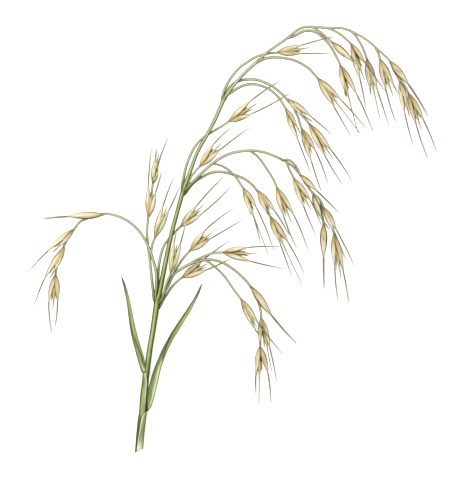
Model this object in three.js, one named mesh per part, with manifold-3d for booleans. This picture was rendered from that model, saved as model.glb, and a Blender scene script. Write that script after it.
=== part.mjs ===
// A cut flowering stem of a ricegrass, laid on a flat surface: a slim culm with two leaves and
// a loose nodding panicle whose thin branches each carry a few long-awned spikelets.
//
// Sizes are millimetres and +Z is up. A place is [across, down, height]: how far it lies to the
// right of and below the top left corner of the sheet that the stem is laid on, and how far
// above that sheet. The part's origin is on the sheet, under the middle of the stem's outline.

import * as THREE from "three";
import Module from "manifold-3d";

const wasm = await Module();
wasm.setup();

// Driving dimensions
const ORIGIN_ACROSS = 116.18;
const ORIGIN_DOWN = 119.69;
const CLEARANCE = 0.3;
const BRANCH_RADIUS = 0.55;
const PEDICEL_RADIUS = 0.38;
const SHEATH_RADIUS = 2.05;
const UPPER_SHEATH_RADIUS = 1.72;
const BLADE_THICKNESS = 0.6;
const CUT_SLOPE = 0.65;
const GLUME_WIDTH = 2.3;
const BACK_WIDTH = 3.2;
const BODY_DEPTH = 1.8;
const GLUME_BOW = 0.035;
const FLORET_WIDTH = 1.6;
const AWN_WIDTH = 0.62;

// The culm from its cut end, through the panicle's axis, to the tip: place and radius
const CULM = [
  [69.5, 225.3, 2.05, 1.15],
  [70.3, 215, 2.05, 1.15],
  [71.2, 207.4, 2.05, 1.15],
  [71.4, 205, 2.05, 0.8],
  [72.2, 195, 2.05, 0.8],
  [72.8, 187.6, 2.05, 0.8],
  [73, 186.4, 2.1, 1.2],
  [74.75, 175, 2.6, 1.25],
  [76.5, 165, 3.3, 1.25],
  [78, 155, 4, 1.35],
  [78.75, 150, 4.5, 1.4],
  [80, 145, 5.2, 1.15],
  [82, 135, 6.4, 1],
  [84, 125, 7.9, 0.9],
  [86.25, 115, 9.3, 0.88],
  [88.5, 106.5, 10.5, 0.87],
  [91.75, 95, 12, 0.95],
  [95, 86, 12.9, 0.8],
  [99, 75.5, 14, 0.76],
  [103.5, 67.5, 15, 0.75],
  [107.5, 59.75, 16, 0.72],
  [112.5, 48.75, 17, 0.76],
  [118, 41.25, 17.4, 0.62],
  [125, 34, 17.8, 0.6],
  [129.5, 30.2, 18, 0.62],
  [133, 26.6, 18, 0.52],
  [142, 20.25, 17.8, 0.5],
  [148, 15.5, 17.4, 0.5],
  [151, 13.9, 17.2, 0.5],
  [154.5, 13.4, 17, 0.5],
  [165, 14, 16, 0.48],
  [173.5, 14.5, 15, 0.48],
  [176.5, 16.2, 14.5, 0.46],
  [180, 18, 13.9, 0.45],
  [185.5, 21.75, 12.9, 0.43],
  [190, 26, 11.9, 0.42],
  [194.5, 30, 10.9, 0.4],
  [197, 35.5, 10, 0.36],
  [199, 39, 9.4, 0.34],
];

// Each leaf's sheath covers the culm between two places and opens into a blade at its collar.
// A blade's rows give its middle, its full width and its turn about its own length in degrees.
const LEAVES = {
  lower_leaf: {
    sheath: [[69.5, 225.3, 2.05], [70.3, 215, 2.05], [71.3, 206, 2.05]],
    radius: SHEATH_RADIUS,
    cut: CUT_SLOPE,
    blade: [
      [[73.1, 206.2, 2.5], 2, 30],
      [[74.3, 202.5, 2.9], 2.9, 25],
      [[75.2, 199, 3.2], 3.4, 15],
      [[75.9, 195, 3.3], 3.8, 5],
      [[77, 190, 3.4], 3.8, 5],
      [[78.4, 185, 3.5], 3.6, 30],
      [[80.3, 180, 3.5], 3.2, 45],
      [[82.4, 175, 3.5], 3, 40],
      [[84.8, 170, 3.3], 2.8, 35],
      [[88, 165, 3], 2.6, 30],
      [[91.2, 160, 2.7], 2.3, 30],
      [[94.3, 155, 2.3], 1.9, 20],
      [[97.3, 150, 1.8], 1.5, 10],
      [[99.7, 145, 1.4], 1, 0],
      [[101.2, 141.5, 1], 0.6, 0],
    ],
  },
  upper_leaf: {
    sheath: [[71.35, 205.6, 2.05], [72.2, 195, 2.05], [72.85, 187, 2.05]],
    radius: UPPER_SHEATH_RADIUS,
    cut: 0,
    blade: [
      [[72.1, 187.6, 3.1], 1.8, -30],
      [[71.8, 185, 3.4], 2.1, -30],
      [[71, 180, 3.8], 2.6, -30],
      [[69.5, 175, 4], 3, -30],
      [[68, 170, 4.1], 3.1, -28],
      [[66.8, 165, 4], 2.8, -20],
      [[65.8, 160, 3.6], 2.4, -10],
      [[65, 155, 3.1], 2, 0],
      [[64.1, 150, 2.6], 1.8, 0],
      [[62.9, 145, 2], 1.4, 0],
      [[60.6, 138, 1], 0.6, 0],
    ],
  },
};

// Every branch grows from the culm. Its main line and its side lines are routes of places, and
// a line that ends in a spikelet names it by its number in the branch. A spikelet has a base,
// two glumes, each given by the shoulder where its body narrows and the tip of its awn, and a
// floret between them. One glume stands for both where the spikelet is seen from its back.
const BRANCHES = {
  nodding_tip: {
    lines: [
      { route: [[155.8, 13.5, 16.9], [159.5, 15.5, 16.6], [162.5, 18, 16.2]], to: 1 },
      { route: [[163.5, 13.9, 16.1], [168, 15.8, 15.6], [171, 17.8, 15.2]], to: 2 },
      {
        route: [
          [174.5, 14.9, 14.9], [177.5, 17.5, 14.2], [179.5, 20.5, 13.4], [181.4, 24, 12.6],
        ],
        to: 3,
      },
      { route: [[187.8, 24, 12.4], [189.3, 27, 11.7]], to: 4 },
      { route: [[198.5, 38, 9.6], [199.3, 39.3, 9.3]], to: 6 },
      { route: [[198.8, 38.6, 9.5], [201, 41, 9], [202.6, 43.2, 8.4]], to: 7 },
    ],
    spikelets: [
      { base: [165.8, 21, 15.6], glumes: [[[176, 30.2, 15.7], [177, 31.2, 15.7]]] },
      {
        base: [175.5, 21.8, 14.5],
        glumes: [[[180, 39.5, 12.8], [183, 54.5, 10.5]], [[182.5, 31.5, 13.8], [192.5, 45.5, 12.7]]],
        floret: [182.3, 40, 12.6],
      },
      {
        base: [183.3, 29, 11.7],
        glumes: [[[188.5, 44.5, 9.8], [194.3, 62.5, 6.5]], [[185, 44, 9.8], [185.3, 47.5, 9.5]]],
        floret: [189.9, 59, 7.2],
      },
      {
        base: [190, 29.5, 11.1],
        glumes: [[[192.5, 43, 9.4], [197.8, 61, 6.5]], [[196.5, 42, 9.6], [199, 47, 9.2]]],
        floret: [196.5, 47.8, 8.7],
      },
      { base: [194.9, 30.5, 12.2], glumes: [[[203.8, 41.6, 11.8], [214, 58, 10]]] },
      {
        base: [199.8, 40.5, 8.9],
        glumes: [[[202.3, 56, 7.4], [206.8, 73.3, 4.5]], [[203.4, 53, 8], [204.8, 58.5, 7.6]]],
      },
      {
        base: [204, 46.3, 7.6],
        glumes: [[[208, 62, 3.8], [213.8, 79.3, 0.31]], [[211.5, 59.5, 3.8], [218.3, 76, 0.31]]],
        floret: [210.8, 64.5, 3.2],
      },
    ],
  },
  crown_inner: {
    lines: [
      {
        route: [
          [146.8, 18.1, 17.1], [148.6, 17.2, 17], [151, 15.9, 16.9], [154, 15.3, 16.7],
          [157, 15.8, 16.3], [160, 17.5, 15.9], [163, 20.3, 15.2], [165.5, 23.5, 14.7],
          [167.5, 27, 14.2], [169.3, 30.6, 13.7],
        ],
        to: 1,
      },
    ],
    spikelets: [
      {
        base: [170, 32.3, 13.5],
        glumes: [[[172.8, 46, 11.8], [173.4, 48.5, 11.6]], [[178, 46.5, 11.8], [186.5, 65.8, 9.4]]],
        floret: [179, 66.5, 9.6],
      },
    ],
  },
  crown_outer: {
    lines: [
      {
        route: [
          [131, 30, 18.3], [132.6, 29.3, 18.2], [136, 28.7, 18.2], [140, 28.8, 18],
          [144, 29.4, 17.6], [148, 30.5, 17], [151.5, 32.3, 16.3], [154.5, 34.3, 15.6],
          [157, 37, 14.9],
        ],
        to: 1,
      },
    ],
    spikelets: [
      {
        base: [158.8, 39, 14.5],
        glumes: [[[166.5, 52.5, 13.6], [175.3, 67.8, 12.6]], [[170, 49.5, 13.6], [183.3, 64.5, 12.4]]],
        floret: [180.3, 67, 12.6],
      },
    ],
  },
  upper_rear: {
    lines: [
      {
        route: [
          [111.2, 48.6, 16.1], [112, 45.6, 16], [114.1, 41.1, 15.9], [116.6, 37.4, 15.8],
          [119.9, 33.7, 15.8], [124, 30.8, 15.8], [129, 28, 15.9], [133, 27, 16], [136, 26.5, 16],
        ],
        to: 1,
      },
    ],
    spikelets: [
      {
        base: [138.5, 26.3, 16],
        glumes: [[[150, 22.8, 15], [166.8, 18.2, 13.4]], [[150.5, 26.7, 15], [164.8, 26.7, 13.8]]],
        floret: [154.8, 23.8, 14.8],
      },
    ],
  },
  upper_middle: {
    lines: [
      {
        route: [
          [113.2, 46.6, 15.6], [114.5, 44, 15.5], [117.4, 41.5, 15.4], [120, 40.3, 15.5],
          [125, 39.7, 15.8], [129, 40, 15.9], [132.5, 41.3, 15.8], [136, 43, 15.7],
          [139, 45.3, 15.4], [142, 48, 15], [145, 51.5, 14.4], [148.5, 55, 13.8],
          [152.5, 59.5, 13.2],
        ],
        to: 2,
      },
      { route: [[146.7, 53.2, 14.1], [147.5, 55.5, 13.7], [149, 58.5, 13], [150, 62, 12.4]], to: 3 },
    ],
    spikelets: [
      {
        base: [144, 49.5, 16],
        glumes: [[[155.5, 58.3, 15.6], [165.5, 67, 14.4]], [[151.5, 57.5, 15.4], [156.5, 60.9, 15.2]]],
      },
      {
        base: [154.3, 61.5, 13],
        glumes: [[[162, 77, 12], [171.5, 92.8, 10.5]], [[165.5, 75, 12], [175.8, 90, 10.5]]],
        floret: [166.5, 79.3, 11.8],
      },
      {
        base: [150.8, 64.3, 12],
        glumes: [[[157.5, 75, 11], [164, 92, 9.3]], [[155.5, 80, 10.9], [160.5, 95.5, 9.3]]],
      },
    ],
  },
  upper_front: {
    lines: [
      {
        route: [
          [115.6, 46.2, 17], [119, 44, 17.1], [122.5, 42.5, 17], [126.5, 42.1, 16.8],
          [130, 42.7, 16.6], [133.5, 44, 16.2], [136.5, 46, 15.8], [139.5, 49, 15.3],
          [141.5, 52, 14.9],
        ],
        to: 1,
      },
    ],
    spikelets: [
      {
        base: [142.8, 54.3, 14.6],
        glumes: [[[149, 70, 13.8], [155.3, 86.5, 12.2]], [[148.3, 63, 14.1], [150.3, 67, 14]]],
      },
    ],
  },
  middle_rear: {
    lines: [
      {
        route: [
          [91, 93.5, 11.1], [91.8, 89, 11.4], [93, 83.5, 11.8], [95, 78, 12.1], [97, 74, 12.3],
          [99.5, 70.8, 12.5], [102, 68.5, 12.7], [105.5, 66.3, 13], [111, 63, 13.3],
        ],
        to: 1,
      },
    ],
    spikelets: [
      {
        base: [114.3, 60.8, 13.5],
        glumes: [[[125, 50.8, 13.4], [140.8, 39.8, 13.2]], [[125.5, 57, 13.4], [145.5, 46.3, 13.1]]],
        floret: [128.3, 51.8, 13.4],
      },
    ],
  },
  middle_arch: {
    lines: [
      {
        route: [
          [93.1, 94.4, 12.4], [94.5, 93, 12.8], [97.5, 90, 13.3], [101.5, 86, 13.9],
          [107.5, 80.8, 14.8], [115, 76.8, 15.6], [124.5, 75.3, 15.8], [131, 75.9, 15.3],
          [136, 77.5, 14.6], [140, 79.3, 13.8], [146, 82.8, 12.5], [150, 87.3, 11],
          [153, 92, 9.8], [156, 96, 9], [160, 100, 8.2], [161.5, 103, 7.6], [164, 109, 6.4],
          [166.3, 114.5, 5.6],
        ],
        to: 9,
      },
      { route: [[93.9, 93.6, 12.7], [94.7, 90.5, 13.7], [95.8, 88, 14.1], [97.5, 85.8, 14.4]], to: 1 },
      { route: [[106, 82, 14.6], [111, 83, 14], [114, 84.8, 13.6], [117.5, 88, 13.1]], to: 2 },
      { route: [[124.5, 75.4, 15.8], [128.7, 78.2, 15], [132.7, 83.4, 13.8], [137, 90.3, 12.8]], to: 3 },
      { route: [[143, 80.9, 13.2], [144.5, 84.3, 12.8], [145.8, 87, 12.5]], to: 4 },
      { route: [[160, 100, 8.2], [160.8, 104, 7], [161.3, 108, 6]], to: 8 },
    ],
    spikelets: [
      {
        base: [99.8, 83.3, 14.8],
        glumes: [[[106.5, 72.5, 15.2], [115.8, 63.5, 15.6]], [[109.5, 75.3, 15.2], [125, 63.5, 15.6]]],
        floret: [110.8, 71.3, 15.2],
      },
      {
        base: [121.5, 94, 12.2],
        glumes: [[[128, 103.5, 11.6], [136.9, 125.3, 10.6]], [[126.8, 108.5, 11.4], [130.2, 121.8, 10.6]]],
        floret: [134, 126.8, 10.4],
      },
      {
        base: [138.3, 93.5, 12.5],
        glumes: [[[141.5, 107, 11.5], [148.4, 124.4, 10.3]], [[146.5, 106.8, 11.6], [154, 125, 10.3]]],
        floret: [145.8, 111.3, 11.3],
      },
      {
        base: [146.8, 89, 12.3],
        glumes: [[[151.5, 102.3, 11.9], [158, 117.8, 11.3]], [[155, 100, 11.9], [160.5, 112.5, 11.3]]],
        floret: [155.5, 105, 11.7],
      },
      { base: [150, 87.3, 12.2], glumes: [[[158, 95, 11.5], [169.5, 106.3, 10.4]]] },
      { base: [156.3, 97.5, 10], glumes: [[[160.8, 109, 9.7], [165, 115, 9.3]]] },
      {
        base: [161.8, 103.5, 8.8],
        glumes: [[[168, 114.5, 8.3], [177.3, 133.3, 7.4]], [[167, 115.5, 8.2], [172.9, 130, 7.6]]],
      },
      { base: [161.8, 111.5, 5.4], glumes: [[[161.8, 128, 4.4], [161.9, 144.5, 3.2]]] },
      {
        base: [167, 116.5, 5.2],
        glumes: [[[167.3, 132.5, 2.8], [169, 151.5, 0.31]], [[171.5, 135, 2.6], [174.3, 151.5, 0.31]]],
        floret: [170.5, 139, 2.2],
      },
    ],
  },
  middle_front: {
    lines: [
      {
        route: [
          [93.2, 96, 11.1], [95, 93.4, 11.2], [98, 90.5, 11.6], [101.5, 88.3, 12],
          [105, 86.6, 12], [109, 85.9, 11.9], [113, 86.3, 11.7], [116.5, 87.3, 11.4],
          [122, 89.3, 10.7], [126.5, 92.8, 10], [129, 96, 9.2], [131.5, 100.5, 8.4],
          [134, 105.5, 7.4],
        ],
        to: 2,
      },
    ],
    spikelets: [
      {
        base: [129, 95.3, 10.9],
        glumes: [[[137.3, 105.5, 10.3], [144.8, 117.8, 8.8]], [[133.3, 105.8, 10.2], [134.6, 108.2, 10]]],
      },
      {
        base: [135, 108, 6.9],
        glumes: [[[139.8, 121, 5.8], [145.8, 138, 4]], [[143.8, 120.8, 5.8], [152, 136.5, 4]]],
        floret: [150.9, 142.3, 3.6],
      },
    ],
  },
  lower_rear: {
    lines: [
      {
        route: [
          [78.9, 145.3, 4.1], [79, 140, 4.6], [79.2, 135, 5], [79.8, 130.5, 5.5],
          [81, 125.5, 6], [82.5, 122, 6.2], [84.5, 119.3, 6.4], [87.8, 115.8, 6.8],
        ],
        to: 1,
      },
    ],
    spikelets: [
      {
        base: [90.3, 113.3, 7],
        glumes: [[[98, 103.3, 7.5], [111.5, 88.5, 8]], [[100.8, 106.8, 7.5], [115.3, 93.5, 8]]],
        floret: [101.8, 102.3, 7.5],
      },
    ],
  },
  left_upright: {
    lines: [
      {
        route: [
          [77, 149.6, 4.2], [76.5, 145, 4.6], [75.8, 139, 5.1], [74.8, 129, 5.5],
          [74, 124, 5.6], [73.7, 120, 5.5], [73.5, 116, 5.2], [74, 109.5, 4.6],
          [75, 102, 3.9], [76, 95, 3.4],
        ],
        to: 2,
      },
    ],
    spikelets: [
      {
        base: [74.3, 108.8, 5.9],
        glumes: [[[74.2, 93, 5.3], [75.8, 73, 3.2]], [[77.8, 96.5, 5.3], [80.9, 85.8, 4.6]]],
      },
      {
        base: [76.4, 92, 3.2],
        glumes: [[[77.8, 79, 1.8], [78.2, 74.5, 1.3]], [[78.8, 83, 1.8], [83.8, 68.8, 0.31]]],
        floret: [79.4, 76.8, 1.4],
      },
    ],
  },
  left_arch: {
    lines: [
      {
        route: [
          [77.8, 148, 5.9], [78.2, 142.5, 6.8], [78, 136, 7.4], [76.8, 131, 7.9],
          [74.5, 124, 8.4], [70.5, 116.8, 8.8], [66.5, 112.5, 9], [63.5, 110.3, 8.9],
          [60, 108.5, 8.7], [56, 107.3, 8.4], [52.5, 106.9, 8], [48, 107.9, 7.5],
          [43.5, 109.3, 7], [40, 111, 6.5], [37.3, 114.3, 5.9], [32.5, 122, 5], [28.5, 133, 4],
        ],
        to: 4,
      },
      { route: [[75.7, 127.5, 8.2], [76, 123, 8.7], [76.8, 120.5, 8.9]], to: 5 },
    ],
    spikelets: [
      { base: [52, 107.3, 9.2], glumes: [[[34.5, 108.2, 8.7], [20.3, 109.4, 7.5]]] },
      {
        base: [37.3, 114.3, 7.2],
        glumes: [[[25, 124.5, 6.7], [14, 136, 3.5]], [[28.5, 124, 6.8], [26.3, 126.3, 6.6]]],
      },
      {
        base: [32.3, 123, 6.3],
        glumes: [[[22.5, 139, 5.5], [17, 153, 2.5]], [[27, 135.5, 5.6], [24.7, 139.5, 5.4]]],
      },
      {
        base: [27.8, 137, 3.7],
        glumes: [[[24.5, 150, 2], [25.8, 166.5, 0.31]], [[28.8, 150, 2], [27.5, 163.5, 0.31]]],
        floret: [26.4, 154.8, 1.6],
      },
      {
        base: [77.3, 119.3, 9],
        glumes: [[[81.3, 103.8, 9.8], [86.9, 88.3, 11]], [[84.5, 105, 9.8], [89.8, 93.5, 10.8]]],
        floret: [83.5, 103.3, 9.9],
      },
    ],
  },
  right_fan: {
    lines: [
      {
        route: [
          [80.5, 150, 5.3], [82.5, 145.5, 5.7], [84.5, 142, 6.1], [86, 138.5, 6.4],
          [87.8, 136.3, 6.7], [90.5, 134.5, 7], [95.5, 131.8, 7.5], [98.5, 130.8, 7.3],
          [104.5, 129.8, 7], [110.5, 131, 6.3], [116.5, 134.5, 5.4], [122.5, 139.8, 4.4],
          [125.3, 143.3, 3.7], [129, 150.5, 2.8], [130.5, 157, 2.2], [130.3, 165, 1.8],
        ],
        to: 6,
      },
      { route: [[82.1, 146.4, 5.6], [82.8, 143.3, 6.9], [84, 140, 7.7]], to: 1 },
      { route: [[85.3, 140, 6.2], [87.5, 135.5, 6.3], [89.5, 132.3, 6.5], [91.5, 129.3, 6.9]], to: 2 },
      { route: [[95, 132, 7.4], [97.5, 130.3, 7.8], [101, 128.6, 8.3], [107, 126.5, 9]], to: 3 },
      { route: [[102, 130, 7.1], [107.5, 133.5, 6.5], [112.5, 138.5, 5.9], [116.8, 144.7, 5.6]], to: 7 },
    ],
    spikelets: [
      {
        base: [85.3, 137, 8.4],
        glumes: [[[87, 121.5, 10.5], [88.3, 115.8, 11.4]], [[90.3, 121.5, 10.4], [92.7, 111.5, 11.2]]],
      },
      {
        base: [94.8, 125.5, 7.4],
        glumes: [[[102.5, 115.3, 7.9], [116.8, 104, 8.5]], [[105, 119.5, 7.9], [121.3, 109.8, 8.5]]],
        floret: [106.3, 115.8, 8],
      },
      {
        base: [111.5, 126.2, 9.2],
        glumes: [[[123.5, 123.8, 8.8], [140, 123.3, 8]], [[125, 130.5, 8.8], [142, 134.3, 8]]],
        floret: [128.8, 127, 8.7],
      },
      { base: [125.3, 143, 5.2], glumes: [[[135.5, 157.3, 4.8], [148.3, 171.8, 3.2]]] },
      {
        base: [130.8, 159, 3.7],
        glumes: [[[134.8, 173.5, 3.4], [138.3, 190.8, 2.4]], [[129.8, 171.5, 3.4], [129.8, 173, 3.4]]],
        floret: [135.8, 185.5, 2.8],
      },
      {
        base: [130, 173, 1.7],
        glumes: [[[128, 187, 1.1], [127.8, 197, 0.31]], [[133.8, 186, 1.1], [135.4, 201.3, 0.31]]],
        floret: [129.4, 202.8, 0.31],
      },
      {
        base: [120.3, 149.3, 5.6],
        glumes: [[[128.5, 160.8, 5.7], [141, 176.8, 4.8]], [[127.5, 164.5, 5.2], [129, 167, 5.1]]],
        floret: [128.3, 163.3, 5.9],
      },
    ],
  },
  right_low: {
    lines: [
      {
        route: [
          [80, 153, 3.7], [81.5, 150, 3.9], [83.5, 147, 4.1], [85.5, 144, 4.2],
          [88, 141.3, 4.4], [90, 139.5, 4.5],
        ],
        to: 1,
      },
    ],
    spikelets: [
      {
        base: [91, 138.8, 4.6],
        glumes: [[[101.5, 130, 5], [114.8, 120.3, 5.2]], [[103, 135, 4.8], [115.3, 129.3, 4.8]]],
        floret: [103.8, 131.8, 4.9],
      },
    ],
  },
};

// Finishes
const FINISHES = {
  culm: new THREE.MeshStandardMaterial({ color: "#8ca653", roughness: 0.6, metalness: 0 }),
  leaf: new THREE.MeshStandardMaterial({ color: "#7f9a4f", roughness: 0.65, metalness: 0 }),
  branch: new THREE.MeshStandardMaterial({ color: "#93a467", roughness: 0.65, metalness: 0 }),
  spikelet: new THREE.MeshStandardMaterial({ color: "#e2d49a", roughness: 0.7, metalness: 0 }),
};

const UP = new THREE.Vector3(0, 0, 1);

function place([across, down, height]) {
  return new THREE.Vector3(across - ORIGIN_ACROSS, ORIGIN_DOWN - down, height);
}

// A regular outline with a flat side below, as far from its middle as the radius given
function evenOutline(sides, radius) {
  const corner = radius / Math.cos(Math.PI / sides);
  return Array.from({ length: sides }, (_, index) => {
    const angle = ((index + 0.5) / sides) * 2 * Math.PI;
    return [-corner * Math.sin(angle), -corner * Math.cos(angle)];
  });
}

// An outline set across a line: its first measure runs level, to the right of the line's
// direction, and its second upwards. A cut slope leans the outline along the line.
function ringAcross(centre, tangent, outline, cut = 0) {
  const side = tangent.clone().cross(UP).normalize();
  const rise = side.clone().cross(tangent);
  return outline.map(([level, upward]) => centre.clone()
    .addScaledVector(side, level)
    .addScaledVector(rise, upward)
    .addScaledVector(tangent, cut * level));
}

// A closed skin over a row of rings with equal counts of points
function skin(rings) {
  const count = rings[0].length;
  const end = (rings.length - 1) * count;
  const triangles = [];
  for (let ring = 0; ring < rings.length - 1; ring += 1) {
    for (let point = 0; point < count; point += 1) {
      const here = ring * count + point;
      const beside = ring * count + ((point + 1) % count);
      triangles.push(here, beside, here + count);
      triangles.push(beside, beside + count, here + count);
    }
  }
  for (let low = 0, high = count - 1; high - low > 1; low += 1) {
    triangles.push(low, high, low + 1);
    triangles.push(end + low, end + low + 1, end + high);
    if (high - low > 2) {
      triangles.push(low + 1, high, high - 1);
      triangles.push(end + low + 1, end + high - 1, end + high);
    }
    high -= 1;
  }
  return new wasm.Manifold(new wasm.Mesh({
    numProp: 3,
    vertProperties: Float32Array.from(rings.flat().flatMap((point) => point.toArray())),
    triVerts: Uint32Array.from(triangles),
  }));
}

function join(solids) {
  return solids.reduce((whole, solid) => whole.add(solid));
}

// A round stem through rows of [place, radius]
function stem(rows, sides, steps, cut = 0) {
  const curve = new THREE.CatmullRomCurve3(rows.map(([spot]) => spot), false, "centripetal");
  const last = rows.length - 1;
  const rings = [];
  for (let step = 0; step <= last * steps; step += 1) {
    const along = step / steps;
    const row = Math.min(Math.floor(along), last - 1);
    const radius = THREE.MathUtils.lerp(rows[row][1], rows[row + 1][1], along - row);
    const slope = step === 0 ? cut : 0;
    const outline = evenOutline(sides, radius);
    rings.push(ringAcross(curve.getPoint(along / last), curve.getTangent(along / last), outline, slope));
  }
  return skin(rings);
}

// The culm's rows, grown by the room that its neighbours leave round it
function culmRows(room) {
  return CULM.map(([across, down, height, radius]) => [place([across, down, height]), radius + room]);
}

// The room that the culm takes up among the leaves, run on past its cut end
function culmRoom() {
  const rows = culmRows(CLEARANCE);
  const [[cutEnd, radius], [next]] = rows;
  const beyond = cutEnd.clone().add(cutEnd.clone().sub(next).setLength(2 * SHEATH_RADIUS));
  return stem([[beyond, radius], ...rows], 8, 1);
}

// A branch's line, thinning evenly, which stops just short of the spikelet that it carries
function line({ route, to }, spikelets, firstRadius, room) {
  const places = route.map(place);
  const base = place(spikelets[to - 1].base);
  const back = places[places.length - 1].clone().sub(base).setLength(CLEARANCE - room);
  places.push(base.add(back));
  const last = places.length - 1;
  const rows = places.map((spot, row) => [
    spot, THREE.MathUtils.lerp(firstRadius, PEDICEL_RADIUS, row / last) + room,
  ]);
  return stem(rows, 5, 1);
}

function branchLines({ lines, spikelets }, room) {
  return join(lines.map((each, index) => {
    const radius = index === 0 ? BRANCH_RADIUS : PEDICEL_RADIUS;
    return line(each, spikelets, radius, room);
  }));
}

// One glume: a boat-shaped body from base to shoulder that bows away from its partner, drawn
// out into an awn. The profile gives places along its line and shares of its full width.
const GLUME_PROFILE = [[0, 0.3], [0.12, 0.75], [0.32, 1], [0.52, 0.68], [0.7, 0], [0.85, 0], [1, 0]];

function glume(base, shoulder, tip, outward, width) {
  const body = shoulder.clone().sub(base);
  const belly = base.clone().lerp(shoulder, 0.45).addScaledVector(outward, GLUME_BOW * body.length());
  const curve = new THREE.CatmullRomCurve3([base, belly, shoulder, tip], false, "centripetal");
  return skin(GLUME_PROFILE.map(([along, share]) => {
    const half = Math.max(width * share, AWN_WIDTH) / 2;
    const deep = Math.max(BODY_DEPTH * share, AWN_WIDTH) / 2;
    const outline = [[half, 0], [0, -deep], [-half, 0], [0, deep]];
    return ringAcross(curve.getPoint(along), curve.getTangent(along), outline);
  }));
}

const FLORET_PROFILE = [[0, 0.4], [0.3, 1], [0.62, 0.5], [1, 0]];

function floret(base, tip) {
  const tangent = tip.clone().sub(base).normalize();
  return skin(FLORET_PROFILE.map(([along, share]) => {
    const half = Math.max(FLORET_WIDTH * share, AWN_WIDTH) / 2;
    const outline = [[half, 0], [0, -half], [-half, 0], [0, half]];
    return ringAcross(base.clone().lerp(tip, along), tangent, outline);
  }));
}

// The level direction square to the body, on the side away from the other glume's shoulder
function awayFrom(other, base, shoulder) {
  const outward = shoulder.clone().sub(base).cross(UP).normalize();
  const gap = other.clone().sub(shoulder).dot(outward);
  return gap > 0 ? outward.negate() : outward;
}

function spikelet({ base, glumes, floret: floretTip }) {
  const root = place(base);
  const pairs = glumes.map(([shoulder, tip]) => [place(shoulder), place(tip)]);
  const parts = pairs.map(([shoulder, tip], index) => {
    const other = pairs[pairs.length - 1 - index][0];
    return pairs.length === 1
      ? glume(root, shoulder, tip, new THREE.Vector3(), BACK_WIDTH)
      : glume(root, shoulder, tip, awayFrom(other, root, shoulder), GLUME_WIDTH);
  });
  const middle = pairs[0][0].clone().lerp(pairs[pairs.length - 1][0], 0.5);
  parts.push(floret(root, floretTip ? place(floretTip) : root.clone().lerp(middle, 0.95)));
  return join(parts);
}

// A blade: a shallow channel of even thickness, turned about its own length
function blade(rows) {
  const curve = new THREE.CatmullRomCurve3(rows.map(([spot]) => place(spot)), false, "centripetal");
  const last = rows.length - 1;
  return skin(rows.map(([, width, turn], row) => {
    const half = width / 2;
    const fold = 0.16 * width;
    const lean = THREE.MathUtils.degToRad(turn);
    const channel = [[-half, fold], [0, -fold], [half, fold]];
    const upper = channel.map(([level, rise]) => [level, rise + BLADE_THICKNESS / 2]);
    const lower = channel.map(([level, rise]) => [level, rise - BLADE_THICKNESS / 2]).reverse();
    const outline = [...upper, ...lower].map(([level, rise]) => [
      level * Math.cos(lean) - rise * Math.sin(lean),
      level * Math.sin(lean) + rise * Math.cos(lean),
    ]);
    return ringAcross(curve.getPoint(row / last), curve.getTangent(row / last), outline);
  }));
}

function sheathCover({ sheath, radius, cut }) {
  return stem(sheath.map((spot) => [place(spot), radius]), 8, 3, cut);
}

// The room that a sheath takes up, run on past its lower end
function sheathRoom({ sheath, radius }) {
  const [lower, ...others] = sheath.map(place);
  const beyond = lower.clone().add(lower.clone().sub(others[0]).setLength(CLEARANCE));
  return stem([beyond, lower, ...others].map((spot) => [spot, radius + CLEARANCE]), 8, 1);
}

function leaf(form, room) {
  return sheathCover(form).add(blade(form.blade)).subtract(room);
}

function toMesh(name, solid, material) {
  const { vertProperties, triVerts } = solid.getMesh();
  const geometry = new THREE.BufferGeometry();
  geometry.setAttribute("position", new THREE.BufferAttribute(vertProperties, 3));
  geometry.setIndex(new THREE.BufferAttribute(triVerts, 1));
  geometry.computeVertexNormals();
  const mesh = new THREE.Mesh(geometry, material);
  mesh.name = name;
  return mesh;
}

function panicle(room) {
  const meshes = [];
  for (const [name, branch] of Object.entries(BRANCHES)) {
    const own = branchLines(branch, CLEARANCE);
    if (name !== "nodding_tip") {
      meshes.push(toMesh(`branch_${name}`, branchLines(branch, 0).subtract(room), FINISHES.branch));
    }
    branch.spikelets.forEach((each, index) => {
      const solid = spikelet(each).subtract(own);
      meshes.push(toMesh(`spikelet_${name}_${index + 1}`, solid, FINISHES.spikelet));
    });
  }
  return meshes;
}

const room = culmRoom();
const culm = stem(culmRows(0), 8, 1, CUT_SLOPE).add(branchLines(BRANCHES.nodding_tip, 0));

const lowerRoom = room.add(sheathRoom(LEAVES.upper_leaf));

const part = new THREE.Group();
part.add(toMesh("culm", culm, FINISHES.culm));
part.add(toMesh("lower_leaf", leaf(LEAVES.lower_leaf, lowerRoom), FINISHES.leaf));
part.add(toMesh("upper_leaf", leaf(LEAVES.upper_leaf, room), FINISHES.leaf));
part.add(...panicle(room));

export default part;
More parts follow.
